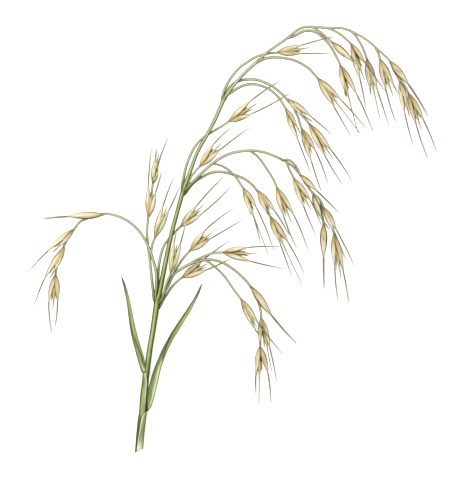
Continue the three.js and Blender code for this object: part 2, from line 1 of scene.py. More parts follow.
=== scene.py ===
import bpy
import numpy as np
from numpy.linalg import norm
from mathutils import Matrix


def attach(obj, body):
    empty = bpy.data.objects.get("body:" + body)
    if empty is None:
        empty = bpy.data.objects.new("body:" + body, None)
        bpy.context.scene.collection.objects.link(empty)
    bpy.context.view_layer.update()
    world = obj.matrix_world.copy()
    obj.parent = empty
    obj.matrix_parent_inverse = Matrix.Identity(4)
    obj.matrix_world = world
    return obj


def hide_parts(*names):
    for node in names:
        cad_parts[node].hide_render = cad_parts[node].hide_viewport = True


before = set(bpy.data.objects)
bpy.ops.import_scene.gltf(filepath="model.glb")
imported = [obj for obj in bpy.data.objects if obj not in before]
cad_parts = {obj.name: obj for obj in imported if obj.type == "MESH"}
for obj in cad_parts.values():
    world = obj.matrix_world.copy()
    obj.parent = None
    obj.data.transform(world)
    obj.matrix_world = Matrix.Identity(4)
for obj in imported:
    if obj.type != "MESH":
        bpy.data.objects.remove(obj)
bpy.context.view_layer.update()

# The card, the lamp and the camera. The stem lies on a matt white card under one large soft
# lamp at the upper left, in a white room, and the camera looks straight down on it.
MM = 0.001
VIEW_WIDTH, VIEW_HEIGHT = 232.0, 240.0
ORIGIN_ACROSS, ORIGIN_DOWN = 116.18, 119.69
CARD_SIZE, CARD_DROP = 5000.0, 0.02
CAMERA_HEIGHT = 700.0
LAMP_PLACE, LAMP_SIZE, LAMP_WATTS = (-430.0, 330.0, 520.0), 420.0, 3.5
ROOM_LIGHT = 0.64


def linear(colour):
    """An sRGB hex colour as linear red, green, blue and alpha: the standard's curve, undone."""
    part = np.array([int(colour[at:at + 2], 16) for at in (1, 3, 5)]) / 255
    part = np.where(part <= 0.04045, part / 12.92, ((part + 0.055) / 1.055) ** 2.4)
    return (*part.tolist(), 1.0)


def add(tree, kind, inputs=None, stops=None, **settings):
    """Adds a shader node with its settings and a ramp's stops. An input is linked to the first
    output in use of a node, or to a socket, and set where it is given anything else."""
    node = tree.nodes.new("ShaderNode" + kind)
    for name, setting in settings.items():
        setattr(node, name, setting)
    for number, (spot, colour) in enumerate((stops or {}).items()):
        if number > 1:
            node.color_ramp.elements.new(spot)
        node.color_ramp.elements[number].position = spot
        node.color_ramp.elements[number].color = linear(colour)
    for name, given in (inputs or {}).items():
        if isinstance(given, bpy.types.Node):
            given = next(socket for socket in given.outputs if socket.enabled)
        if isinstance(given, bpy.types.NodeSocket):
            tree.links.new(given, node.inputs[name])
        else:
            node.inputs[name].default_value = given
    return node


def blank(name):
    """A new material and its emptied tree."""
    material = bpy.data.materials.new(name)
    material.use_nodes = True
    material.node_tree.nodes.clear()
    return material, material.node_tree


def finish(tree, **inputs):
    """Ends a material's tree with its shader, whose inputs are given by name, and its output."""
    inputs = {name.replace("_", " "): given for name, given in inputs.items()}
    add(tree, "OutputMaterial", {"Surface": add(tree, "BsdfPrincipled", inputs)})


# White card, uncoated: matt, with a faint tooth of 0.4 mm that only a close view shows. It glows
# a little, so that it stays white where the stem shades it.
card_white, tree = blank("white card, uncoated")
where = add(tree, "TexCoord").outputs["Object"]
tooth = add(tree, "TexNoise", {"Vector": where, "Scale": 2500.0, "Detail": 2.0})
shade = add(tree, "ValToRGB", {"Fac": tooth}, {0.3: "#CDCDCA", 0.7: "#D3D3D1"})
raised = add(tree, "Bump", {"Height": tooth, "Distance": 0.00002, "Strength": 0.3})
finish(tree, Base_Color=shade, Normal=raised, Roughness=0.9, IOR=1.45,
       Emission_Color=linear("#FFFFFF"), Emission_Strength=0.72)

half = CARD_SIZE / 2
corners = np.array([(-half, -half), (half, -half), (half, half), (-half, half)])
corners = np.column_stack([corners, np.full(4, -CARD_DROP)]) * MM
card = bpy.data.meshes.new("card")
card.from_pydata(corners.tolist(), [], [(0, 1, 2, 3)])
card.materials.append(card_white)
card_object = bpy.data.objects.new("white_card", card)
bpy.context.scene.collection.objects.link(card_object)

world = bpy.data.worlds.new("white room")
world.use_nodes = True
world.node_tree.nodes["Background"].inputs["Color"].default_value = linear("#FFFFFF")
world.node_tree.nodes["Background"].inputs["Strength"].default_value = ROOM_LIGHT
bpy.context.scene.world = world
bpy.context.scene.view_settings.view_transform = "Standard"

lamp = bpy.data.lights.new("soft lamp", "AREA")
lamp.shape = "DISK"
lamp.size = LAMP_SIZE * MM
lamp.energy = LAMP_WATTS
lamp_object = bpy.data.objects.new("soft_lamp", lamp)
lamp_object.location = [part * MM for part in LAMP_PLACE]
lamp_object.rotation_euler = (-lamp_object.location).to_track_quat("-Z", "Y").to_euler()
bpy.context.scene.collection.objects.link(lamp_object)

camera = bpy.data.cameras.new("camera")
camera.type = "ORTHO"
camera.sensor_fit = "VERTICAL"
camera.ortho_scale = VIEW_HEIGHT * MM
camera_object = bpy.data.objects.new("camera", camera)
camera_object.location = ((VIEW_WIDTH / 2 - ORIGIN_ACROSS) * MM,
                          (ORIGIN_DOWN - VIEW_HEIGHT / 2) * MM, CAMERA_HEIGHT * MM)
bpy.context.scene.collection.objects.link(camera_object)
bpy.context.scene.camera = camera_object

# The culm: the grass's hollow green stem. It is cut slanting at its foot, swells a little at each
# node where branches leave it, and runs on as the panicle's axis to the nodding tip. One tissue,
# so the tip's short side stalks are in the same piece. Its rows are places, each with a radius.
CULM = [
  (69.5, 225.3, 2.05, 1.8), (70.3, 215, 2.05, 1.8), (71.2, 207.4, 2.05, 1.8), (71.4, 205, 2.05, 1.5),
  (72.2, 195, 2.05, 1.48), (73.25, 187.6, 2.05, 1.42), (73.42, 186.4, 2.1, 1.42), (74.85, 175, 2.6, 1.4),
  (76.5, 165, 3.3, 1.4), (78, 155, 4, 1.51), (78.75, 150, 4.5, 1.57), (80, 145, 5.2, 1.29),
  (82, 135, 6.4, 1.2), (84, 125, 7.9, 1.08), (86.25, 115, 9.3, 1.06), (88.5, 106.5, 10.5, 1.04),
  (91.75, 95, 12, 1.14), (95, 86, 12.9, 0.96), (99, 75.5, 14, 0.91), (103.5, 67.5, 15, 0.9),
  (107.5, 59.75, 16, 0.94), (112.5, 48.75, 17, 0.99), (118, 41.25, 17.4, 0.81), (125, 34, 17.8, 0.78),
  (129.5, 30.2, 18, 0.81), (133, 26.6, 18, 0.68), (142, 20.25, 17.8, 0.65), (148, 15.5, 17.4, 0.65),
  (151, 13.9, 17.2, 0.65), (154.5, 13.4, 17, 0.65), (165, 14, 16, 0.62), (170, 13.95, 15.4, 0.58),
  (173.1, 14.65, 15.05, 0.58), (176.3, 15.95, 14.5, 0.55), (179.4, 17.5, 14, 0.54),
  (182.5, 19.4, 13.45, 0.53), (185.6, 21.7, 12.9, 0.52), (190, 25.7, 11.9, 0.5), (194.5, 30, 10.9, 0.52),
  (197, 35.5, 10, 0.47), (199, 39, 9.4, 0.44),
]
TIP_STALKS = [
  [(155.8, 13.5, 16.9), (159.5, 15.5, 16.6), (162.5, 18, 16.2), (165.8, 21, 15.6)],
  [(163.5, 13.9, 16.1), (168, 15.8, 15.6), (171, 17.8, 15.2), (175.5, 21.8, 14.5)],
  [(174.5, 14.9, 14.9), (177.5, 17.5, 14.2), (179.5, 20.5, 13.4), (181.4, 24, 12.6), (183.3, 29, 11.7)],
  [(187.8, 24, 12.4), (189.3, 27, 11.7), (190, 29.5, 11.1)],
  [(198.5, 38, 9.6), (199.3, 39.3, 9.3), (199.8, 40.5, 8.9)],
  [(198.8, 38.6, 9.5), (201, 41, 9), (202.6, 43.2, 8.4), (204, 46.3, 7.6)],
]
CULM_NODES = [(78.75, 150), (91.75, 95), (112.5, 48.75), (129.5, 30.2)]
NODE_SWELLING, NODE_LENGTH, NODE_DARKNESS = 0.16, 1.2, 0.5
SPAN_STEPS = 24
CULM_STEP, CULM_SIDES = 0.7, 48
RIB_COUNT, RIB_HEIGHT = 16, 0.012
# The foot's cut: its slopes to the right and upwards, the length over which they fade, and the
# share of the rim's reach at which its face begins
CUT, CUT_FADE, CUT_FACE = (0.65, 0.12), 3.0, 0.72
# The skin turns from green to grey between these shares of the culm's length.
GREYS_FROM, GREYS_BY = 0.42, 0.7
# Painted shade on the culm, by distance from the foot. A painted shadow line follows the lower
# sheath's margin at an angle from the top, the right side is painted dark in the fork of the lower
# blade, and so is the whole stem where it comes out of the upper sheath.
LAP_RUN = [0, 5.3, 10.3, 15.8, 17.8]
LAP_ANGLE = [-30, -22, -12, -4, 12]
LAP_OFFSET, LAP_WIDTH = 0.22, 0.3
FORK_RUN, FORK_HALF, FORK_ANGLE, FORK_SHADE = 29, 9, 0.3, 0.8
MOUTH_RUN, MOUTH_LENGTH, MOUTH_SHADE = 39, 4, 0.35
# A stalk swells at its foot and under its spikelet, and is dry straw just below that.
STALK_STEP, STALK_SIDES, STALK_RADIUS = 0.6, 12, 0.56
STALK_SWELLING, TIP_FOOT_LENGTH, SWELLING_LENGTH = 0.1, 0.9, 0.7
STRAW_LENGTH, TIP_STRAW = 4, 0.9
SHARP_ANGLE = 50
UP = np.array([0.0, 0.0, 1.0])


def place(rows):
    """Places on the card to the part's own: across and down from its middle, in millimetres.
    Columns past the third stay."""
    rows = np.array(rows, float)
    rows[:, 0] -= ORIGIN_ACROSS
    rows[:, 1] = ORIGIN_DOWN - rows[:, 1]
    return rows


def curve(rows):
    """A centripetal Catmull-Rom curve through rows: the gap of a span is the square root of its
    length, and each span is a cubic whose end slopes come from the rows before and after it.
    Columns past the third ride along."""
    rows = np.asarray(rows, float)
    rows = np.vstack([2 * rows[0] - rows[1], rows, 2 * rows[-1] - rows[-2]])
    gaps = np.sqrt(norm(np.diff(rows[:, :3], axis=0), axis=1))[:, None]
    before, own, after = gaps[:-2], gaps[1:-1], gaps[2:]
    past, start, end, coming = rows[:-3], rows[1:-2], rows[2:-1], rows[3:]
    leave = own * ((start - past) / before - (end - past) / (before + own) + (end - start) / own)
    reach = own * ((end - start) / own - (coming - start) / (own + after) + (coming - end) / after)
    t = (np.arange(SPAN_STEPS) / SPAN_STEPS)[None, :, None]
    spans = ((2 * t**3 - 3 * t**2 + 1) * start[:, None] + (t**3 - 2 * t**2 + t) * leave[:, None]
             + (3 * t**2 - 2 * t**3) * end[:, None] + (t**3 - t**2) * reach[:, None])
    return np.vstack([spans.reshape(-1, rows.shape[1]), rows[-2]])


def run_of(line):
    """The length along a line at each of its rows: the sum of the steps before it."""
    return np.concatenate([[0], np.cumsum(norm(np.diff(line[:, :3], axis=0), axis=1))])


def resampled(line, measure, wanted):
    """The line's columns read off where its measure takes the values wanted."""
    return np.stack([np.interp(wanted, measure, column) for column in line.T], axis=1)


def evenly(line, spacing):
    """The line cut into even steps of about the spacing, with its length at each."""
    run = run_of(line)
    wanted = np.linspace(0, run[-1], max(int(round(run[-1] / spacing)), 2) + 1)
    return resampled(line, run, wanted), wanted


def unit(vectors):
    """The vectors, each divided by its length."""
    return vectors / norm(vectors, axis=-1, keepdims=True)


def nearest_to(spot, line):
    """The number of the line's row that is nearest to the spot."""
    return np.argmin(norm(line[:, :len(spot)] - spot, axis=1))


def directions(line):
    """Three directions at each row: ahead along the line, level to its right, and upwards."""
    ahead = unit(np.gradient(line[:, :3], axis=0))
    side = unit(np.cross(ahead, UP))
    return ahead, side, np.cross(side, ahead)


def slanted(level, upward, run):
    """How far the foot's cut moves points along the stem: their level and upward places times its
    slopes, fading away over a length."""
    return (CUT[0] * level + CUT[1] * upward) * np.clip(1 - run / CUT_FADE, 0, 1)[:, None]


def stacked(*parts):
    """The parts, spread over one grid, as the columns of its points."""
    return np.stack(np.broadcast_arrays(*parts), -1)


def tube(line, radius, sides, dryness, darkness=0, ribs=(0, 0), cut=False):
    """A closed round stem. Each row of the line carries a ring of points at radius * (1 + height *
    cos(count * angle)) from it, the angle running from the top round to the right. A cut slants
    its first rings and faces them with a smaller ring inside the first. The tint holds the
    dryness, 1 where grey and 2 where straw, the darkness, and 1 on the cut face."""
    ahead, side, rise = directions(line)
    run = run_of(line)
    tint = stacked(dryness, darkness, 0 * run)
    angle = np.arange(sides) / sides * 2 * np.pi
    count, height = ribs
    reach = radius[:, None] * (1 + height * np.cos(count * angle))
    if cut:
        line, ahead, side, rise = (np.vstack([each[:1], each]) for each in (line, ahead, side, rise))
        reach = np.vstack([CUT_FACE * reach[:1], reach])
        run = np.concatenate([[0], run])
        tint = np.vstack([tint[:1] * [1, 1, 0] + [0, 0, 1], tint])
    level, upward = reach * np.sin(angle), reach * np.cos(angle)
    grid = line[:, None, :3] + level[..., None] * side[:, None] + upward[..., None] * rise[:, None]
    if cut:
        grid = grid + slanted(level, upward, run)[..., None] * ahead[:, None]
    spot = stacked(np.sin(angle)[None], np.cos(angle)[None], run[:, None])
    return grid, spot, np.repeat(tint[:, None], sides, axis=1), 0


def add_piece(name, shells, materials, node):
    """Joins closed shells into one mesh, in metres. A shell is a grid of rings: four-sided faces
    join each ring to the next, and a strip of them across its first and last ring closes it, from
    point k to the last but k. A shell whose signed volume is negative is turned inside out. Its
    spot and tint go with each point, and its number picks its material."""
    points, faces, spots, tints, marks = [], [], [], [], []
    first = 0
    for grid, spot, tint, mark in shells:
        rings, around, _ = grid.shape
        number = np.arange(rings * around).reshape(rings, around)
        beside = np.roll(number, -1, axis=1)
        sides = np.stack([number[:-1], beside[:-1], beside[1:], number[1:]], -1).reshape(-1, 4)
        low = np.arange(around // 2 - 1)
        cap = np.stack([low, low + 1, around - 2 - low, around - 1 - low], axis=1)
        quads = np.vstack([sides, cap[:, ::-1], cap + (rings - 1) * around])
        flat = grid.reshape(-1, 3)
        a, b, c, d = (flat[quads[:, at]] for at in range(4))
        if (np.einsum("ij,ij", a, np.cross(b, c)) + np.einsum("ij,ij", a, np.cross(c, d))) < 0:
            quads = quads[:, ::-1]
        points.append(flat)
        spots.append(np.broadcast_to(spot, grid.shape).reshape(-1, 3))
        tints.append(np.broadcast_to(tint, grid.shape).reshape(-1, 3))
        faces.append(quads + first)
        marks.append(np.full(len(quads), mark))
        first += len(flat)
    faces = np.vstack(faces)
    mesh = bpy.data.meshes.new(name)
    mesh.vertices.add(first)
    mesh.vertices.foreach_set("co", (np.vstack(points) * MM).ravel())
    mesh.loops.add(faces.size)
    mesh.loops.foreach_set("vertex_index", faces.ravel().astype(np.int32))
    mesh.polygons.add(len(faces))
    mesh.polygons.foreach_set("loop_start", np.arange(0, faces.size, 4, dtype=np.int32))
    mesh.polygons.foreach_set("material_index", np.concatenate(marks).astype(np.int32))
    mesh.polygons.foreach_set("use_smooth", np.ones(len(faces), bool))
    mesh.update(calc_edges=True)
    mesh.validate()
    mesh.set_sharp_from_angle(angle=np.radians(SHARP_ANGLE))
    for title, rows in (("spot", spots), ("tint", tints)):
        attribute = mesh.attributes.new(title, "FLOAT_VECTOR", "POINT")
        attribute.data.foreach_set("vector", np.vstack(rows).ravel().astype(np.float32))
    for material in materials:
        mesh.materials.append(material)
    piece = bpy.data.objects.new(name, mesh)
    bpy.context.scene.collection.objects.link(piece)
    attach(piece, "root")
    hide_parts(node)


def grown(name):
    """A new material for a grown skin, with its tree, the spot, and the parts of spot and tint."""
    material, tree = blank(name)
    spot = add(tree, "Attribute", attribute_name="spot").outputs["Vector"]
    tint = add(tree, "Attribute", attribute_name="tint").outputs["Vector"]
    on_it, given = (add(tree, "SeparateXYZ", {0: each}).outputs for each in (spot, tint))
    return material, tree, spot, on_it, given


def grained(tree, spot, stretch, stops, **inputs):
    """A grain of noise that reads the spot times a stretch, and its colours."""
    drawn = add(tree, "VectorMath", {0: spot, 1: stretch}, operation="MULTIPLY")
    noise = add(tree, "TexNoise", {"Vector": drawn, **inputs})
    return noise, add(tree, "ValToRGB", {"Fac": noise}, stops)


# How a Mix node lays one colour over another, and how it tints one with another
BLENDED = {"data_type": "RGBA"}
TINTED = {"data_type": "RGBA", "blend_type": "MULTIPLY"}

# Living grass culm: a smooth, lightly waxed skin with fine pale fibres along it, 0.2 mm apart
# and drawn a little coarser so that they show. Green, darker at its nodes, straw brown where dry.
# Round the stem each skin ramp paints shade on both sides and a highlight a little left of the
# top, and the culm's darkness also carries painted shade.
culm_green, tree, spot, on_it, given = grown("living grass culm, waxed skin")
turned = add(tree, "MapRange", {"Value": on_it[0], "From Min": -1.0, "From Max": 1.0})
# Painted shade and highlight round the stem: dark on both sides, brightest a little left of the top
skin = add(tree, "ValToRGB", {"Fac": turned}, {
    0: "#3F4D1E", 0.13: "#52622C", 0.23: "#94A463", 0.34: "#C9D499", 0.43: "#DEE6B8", 0.52: "#BAC586",
    0.66: "#98A562", 0.78: "#74833F", 0.88: "#4D5A26", 1: "#3D491B"})
fibre, streak = grained(tree, spot, (3.2, 3.2, 0.12), {0.34: "#AEB98C", 0.5: "#E6E9CF", 0.66: "#FFFFF2"},
                        Scale=1.6, Detail=4.0, Roughness=0.6)
fibred = add(tree, "Mix", {0: 0.62, 6: skin, 7: streak}, **TINTED)
_, mottle = grained(tree, spot, (0.3, 0.3, 0.06), {0.35: "#E3E6BE", 0.65: "#FFFFFF"}, Scale=1.0, Detail=2.0)
mottled = add(tree, "Mix", {0: 0.8, 6: fibred, 7: mottle}, **TINTED)
# The grey skin, with the same painted shade on both sides and a painted highlight near the top
grey_skin = add(tree, "ValToRGB", {"Fac": turned}, {
    0: "#66644A", 0.16: "#8C8A68", 0.34: "#D4D2B4", 0.5: "#E7E4CC", 0.64: "#C9C6A7", 0.82: "#84825F",
    1: "#5E5C43"})
greyed = add(tree, "Mix", {0: 0.6, 6: grey_skin, 7: streak}, **TINTED)
dried = add(tree, "Mix", {0: given[0], 6: mottled, 7: greyed}, **BLENDED)
# The straw skin, with the same painted shade on both sides and a painted highlight near the top
straw_skin = add(tree, "ValToRGB", {"Fac": turned}, {
    0: "#7C6A4C", 0.2: "#A89676", 0.45: "#DBD0B4", 0.7: "#BAAC8E", 1: "#6E5C42"})
near_husk = add(tree, "MapRange", {"Value": given[0], "From Min": 1.0, "From Max": 2.0})
strawed = add(tree, "Mix", {0: near_husk, 6: dried, 7: straw_skin}, **BLENDED)
# Darker green at the nodes and the stalks' feet, and painted shade on the culm, from the tint's darkness
nodes_and_painted_shade = add(tree, "Mix", {0: given[1], 6: strawed, 7: linear("#3B4718")}, **BLENDED)
faced = add(tree, "Mix", {0: given[2], 6: nodes_and_painted_shade, 7: linear("#F8FADF")}, **BLENDED)
ridged = add(tree, "Bump", {"Height": fibre, "Distance": 0.00004, "Strength": 0.5})
finish(tree, Base_Color=faced, Normal=ridged, Roughness=0.48, IOR=1.42, Specular_IOR_Level=0.12)

culm_line, culm_run = evenly(curve(place(CULM)), CULM_STEP)
radius, darkness = culm_line[:, 3].copy(), np.zeros(len(culm_line))
for node in place([(*spot, 0) for spot in CULM_NODES]):
    nearness = np.exp(-((culm_run - culm_run[nearest_to(node[:2], culm_line)]) / NODE_LENGTH) ** 2)
    radius += NODE_SWELLING * nearness
    darkness += NODE_DARKNESS * nearness
dryness = np.interp(culm_run, [GREYS_FROM * culm_run[-1], GREYS_BY * culm_run[-1]], [0, 1])
stem = tube(culm_line, radius, CULM_SIDES, dryness, darkness, (RIB_COUNT, RIB_HEIGHT), True)
turn, run = np.arctan2(stem[1][..., 0], stem[1][..., 1]), stem[1][..., 2]
# Painted shade: the lower sheath margin's shadow line, the fork's shaded side and the shade under the upper
# collar
margin = np.radians(np.interp(run, LAP_RUN, LAP_ANGLE))
lap_shadow = (run < LAP_RUN[-1]) * np.exp(-((turn - margin + LAP_OFFSET) / LAP_WIDTH) ** 4)
fork_shade = (np.abs(run - FORK_RUN) < FORK_HALF) * (turn > FORK_ANGLE)
shaded = MOUTH_SHADE * np.exp(-((run - MOUTH_RUN) / MOUTH_LENGTH) ** 2)
stem[2][..., 1] = np.maximum.reduce([stem[2][..., 1], lap_shadow, FORK_SHADE * fork_shade, shaded])
side_stalks, stem_lines = [], {"nodding_tip": [culm_line[:, :3]]}
for route in TIP_STALKS:
    rows, run = evenly(curve(place(route)), STALK_STEP)
    stem_lines["nodding_tip"].append(rows)
    radius = STALK_RADIUS + STALK_SWELLING * (
        np.exp(-(run / TIP_FOOT_LENGTH) ** 2) + np.exp(-(run[-1] - run) / SWELLING_LENGTH))
    dryness = 1 + TIP_STRAW * np.clip(1 - (run[-1] - run) / STRAW_LENGTH, 0, 1)
    side_stalks.append(tube(rows, radius, STALK_SIDES, dryness))
add_piece("culm_stem", [stem, *side_stalks], [culm_green], "culm")

# The two leaves. Each is one thin sheet: rolled round the culm as its sheath, it unrolls at the
# collar, where a short papery ligule stands, and runs on as a folded blade to a dry tip.
ACROSS = np.linspace(-1, 1, 23)
LEAF_STEP, LEAF_THICKNESS, MARGIN_THINNING, MIDRIB_RISE, MIDRIB_WIDTH = 0.6, 0.2, 0.6, 0.5, 0.08
FOLD_ROUNDING = 0.012
CARD_GAP = 0.03
# A sheath's rows give its axis, its midrib's angle from the top round to the right, the half
# angle that it covers and its radius. A blade's give its middle, the width that it shows from
# above, its turn and the slope of its two halves.
LOWER_SHEATH = [
  (69.4, 225.3, 2.1, 120, 150, 2.02), (69.8, 220, 2.1, 125, 147, 2.02), (70.25, 215, 2.1, 130, 142, 2.06),
  (70.85, 209.5, 2.1, 128, 132, 2.1), (71.05, 207.5, 2.1, 128, 116, 2.14),
  (71.2, 206.3, 2.15, 132, 88, 2.3), (71.6, 205.2, 2.3, 124, 62, 2.45),
]
LOWER_BLADE = [
  (73.95, 204, 2.6, 1.9, 60, 35), (74.2, 202.9, 2.8, 2.8, 50, 36), (74.7, 201, 3.1, 3.2, 40, 38),
  (75.35, 198, 3.4, 3.8, 26, 38), (75.87, 195, 3.5, 4.15, 15, 38), (76.75, 192, 3.5, 3.9, 8, 38),
  (77.5, 189, 3.5, 3.8, 2, 38), (78.3, 186, 3.5, 3.5, -6, 38), (79.25, 183, 3.5, 3.25, -14, 38),
  (80.4, 180, 3.5, 2.95, -24, 38), (81.55, 177, 3.5, 2.85, -30, 38), (82.95, 174, 3.5, 2.75, -34, 38),
  (84.5, 171, 3.4, 2.65, -34, 38), (86.1, 168, 3.3, 2.55, -30, 38), (88, 165, 3.1, 2.6, -24, 38),
  (89.9, 162, 2.9, 2.5, -18, 38), (91.8, 159, 2.7, 2.25, -12, 38), (93.8, 156, 2.4, 2.1, -6, 36),
  (95.55, 153, 2.1, 1.85, 0, 34), (97.25, 150, 1.8, 1.45, 0, 32), (98.8, 147, 1.5, 1.3, 0, 30),
  (100.1, 144, 1.2, 0.9, 0, 28), (101.1, 141.7, 1, 0.25, 0, 20),
]
UPPER_SHEATH = [
  (71.15, 206.6, 2.05, -117, 157, 1.7), (71.35, 205.4, 2.05, -117, 157, 1.72),
  (71.68, 201, 2.05, -117, 159, 1.76), (71.9, 198, 2.05, -119, 156, 1.77),
  (72.2, 195, 2.05, -118, 157, 1.7), (72.45, 193, 2.05, -119, 155, 1.68),
  (72.72, 191, 2.05, -126, 150, 1.7), (72.88, 189.8, 2.1, -116, 134, 1.7),
  (72.95, 188.4, 2.2, -106, 112, 1.68), (72.95, 187.2, 2.4, -98, 84, 1.6),
]
UPPER_BLADE = [
  (71.9, 185.6, 3.3, 2.4, -26, 32), (71.55, 184, 3.5, 2.8, -30, 36), (70.9, 181, 3.7, 3.25, -36, 38),
  (69.8, 177, 4, 3.35, -34, 38), (68.6, 173, 4.1, 3.15, -30, 38), (67.5, 169, 4.1, 3, -24, 38),
  (66.6, 165, 4, 2.8, -18, 38), (65.8, 161, 3.8, 2.5, -12, 38), (65.2, 157, 3.4, 2.2, -6, 36),
  (64.55, 153, 2.9, 1.9, 0, 34), (63.75, 149, 2.4, 1.6, 0, 32), (62.8, 145, 1.9, 1.4, 0, 30),
  (61.7, 141, 1.3, 1, 0, 28), (60.65, 138.1, 1, 0.25, 0, 20),
]
# How each leaf's painted light and shade lie across it: at each distance down the picture, where a
# dark valley of painted shade and a pale strip lie between its left edge, -1, and its right, 1,
# each followed by its strength. The strip is a painted highlight, and on the upper sheath it also
# follows the pale margin. A strip stronger than 1 is wider, and covers the outline.
LOWER_TINT = [
  (164, -0.85, 0, 0.35, 0), (167.5, -0.55, 0.5, 0.35, 0), (170, -0.4, 0.8, 0.35, 0),
  (172.5, -0.28, 0.9, 0.35, 0), (175, 0.02, 0.9, 0.35, 0), (178, 0.42, 0.9, 0.35, 0),
  (180, 0.75, 0.8, 0.35, 0.2), (182.4, 0.9, 0, 0.35, 0.6), (182.6, -0.9, 0, 0.35, 0.6),
  (185, -0.9, 0.3, 0.4, 0.8), (190, -0.85, 0.4, 0.5, 0.9), (195, -0.85, 0.5, 0.6, 0.9),
  (200, -0.85, 0.7, 0.55, 0.8), (204, -0.8, 0.8, 0.3, 0.6), (206, -0.8, 0, 0.3, 0),
]
UPPER_TINT = [
  (159, -0.8, 0, -0.6, 0), (162.5, -0.7, 0.3, -0.6, 0), (166.5, -0.45, 0.6, -0.65, 0.1),
  (170.5, -0.1, 0.75, -0.65, 0.3), (173, 0.1, 0.85, -0.65, 0.5), (177, 0.35, 0.9, -0.55, 0.6),
  (181, 0.3, 0.95, -0.55, 0.8), (183, 0.6, 0.9, -0.35, 0.9), (184.6, 0.9, 0.6, 0, 1.3),
  (185.6, 0.9, 0.2, 0.2, 2), (186.5, 0.65, 0, 0.2, 2), (188.4, -0.75, 0.9, 0.35, 1.4),
  (190.5, -0.7, 0.85, 0.38, 1.3), (193, -0.6, 0.7, 0.42, 1.2), (196, -0.8, 0.4, 0.48, 1.2),
  (199, -0.9, 0.3, 0.52, 0.9), (202, -0.9, 0.3, 0.55, 0.3),
]
# Widths and strengths of the painted shade valley and the painted highlight strip
VALLEY_WIDTH, SHEATH_VALLEY_MORE, VALLEY_SHADE = 0.26, 0.2, 0.95
STRIP_WIDTH, STRIP_PALENESS = 0.36, 0.9
# A dark outline along both edges as seen from above, in millimetres: painted shade where a sheath's
# sides turn away, and on a blade its darker margin with painted shade. It is narrower on a blade
# than on a sheath, and wider on the left of the upper sheath where that is well closed
OUTLINE_WIDTH, OUTLINE_REACH, BLADE_OUTLINE, LEFT_OUTLINE, OUTLINE_COVERED = 0.62, 1.3, 0.64, 0.6, 0.8
LEFT_OUTLINE_HALF = [110, 145]
# The lower sheath's pale margin: the share of its half angle where it starts, by that half angle
MARGIN_HALF, MARGIN_FROM, MARGIN_BLEND = [80, 120, 145], [0.8, 0.82, 0.91], 0.04
# The lower leaf's cut foot: a painted shade line along its cut edge, and its paling towards it
FOOT_LENGTH, FOOT_SHADE, PALE_LENGTH = 0.5, 0.4, 4.6
LIGULE_ROWS, LIGULE_HALF_THICKNESS = 6, 0.03


def rolled(rows, lap):
    """Rings of a rolled sheet: from its axis, radius + lap * v along the direction at the angle
    midrib + v * half angle, v running from one margin to the other."""
    rows = place(rows)
    axis, (midrib, half, radius) = rows[:, :3], rows[:, 3:].T[..., None]
    ahead = unit(axis[-1] - axis[0])
    side = unit(np.cross(ahead, UP))
    angle = np.radians(midrib + half * ACROSS)
    reach = (radius + lap * ACROSS)[..., None]
    rings = reach * (np.sin(angle)[..., None] * side + np.cos(angle)[..., None] * np.cross(side, ahead))
    return np.hstack([axis, np.ones_like(half), half, (axis[:, None] + rings).reshape(len(rows), -1)])


def opened(rows):
    """Rings of a folded blade: each half runs out along its slope from a rounded midrib, both are
    turned as one about the blade's length, and the ring is scaled to the width that shows from
    above."""
    rows = place(rows)
    middle, (width, turn, slope) = rows[:, :3], rows[:, 3:].T[..., None]
    _, side, rise = directions(middle)
    turn, slope = np.radians(turn), np.radians(slope)
    level = -np.cos(slope) * ACROSS
    upward = np.sin(slope) * (np.sqrt(ACROSS**2 + FOLD_ROUNDING) - 0.5)
    beside = level * np.cos(turn) - upward * np.sin(turn)
    above = level * np.sin(turn) + upward * np.cos(turn)
    least, most = beside.min(axis=1, keepdims=True), beside.max(axis=1, keepdims=True)
    scale = (width / (most - least))[..., None]
    rings = ((beside - (least + most) / 2)[..., None] * side[:, None]
             + above[..., None] * rise[:, None]) * scale
    none = np.zeros_like(width)
    return np.hstack([middle, none, none, (middle[:, None] + rings).reshape(len(rows), -1)])


def two_faced(v, outer, inner):
    """Rings of a closed thin shell: across its outer face, back across its inner one, and nowhere
    lower than just above the card. With them go v, across and back, and the face, 0 or 1."""
    grid = np.concatenate([outer, inner[:, ::-1]], axis=1)
    grid[..., 2] = np.maximum(grid[..., 2], CARD_GAP)
    return grid, np.concatenate([v, v[::-1]])[None], np.repeat([0.0, 1.0], len(v))[None]


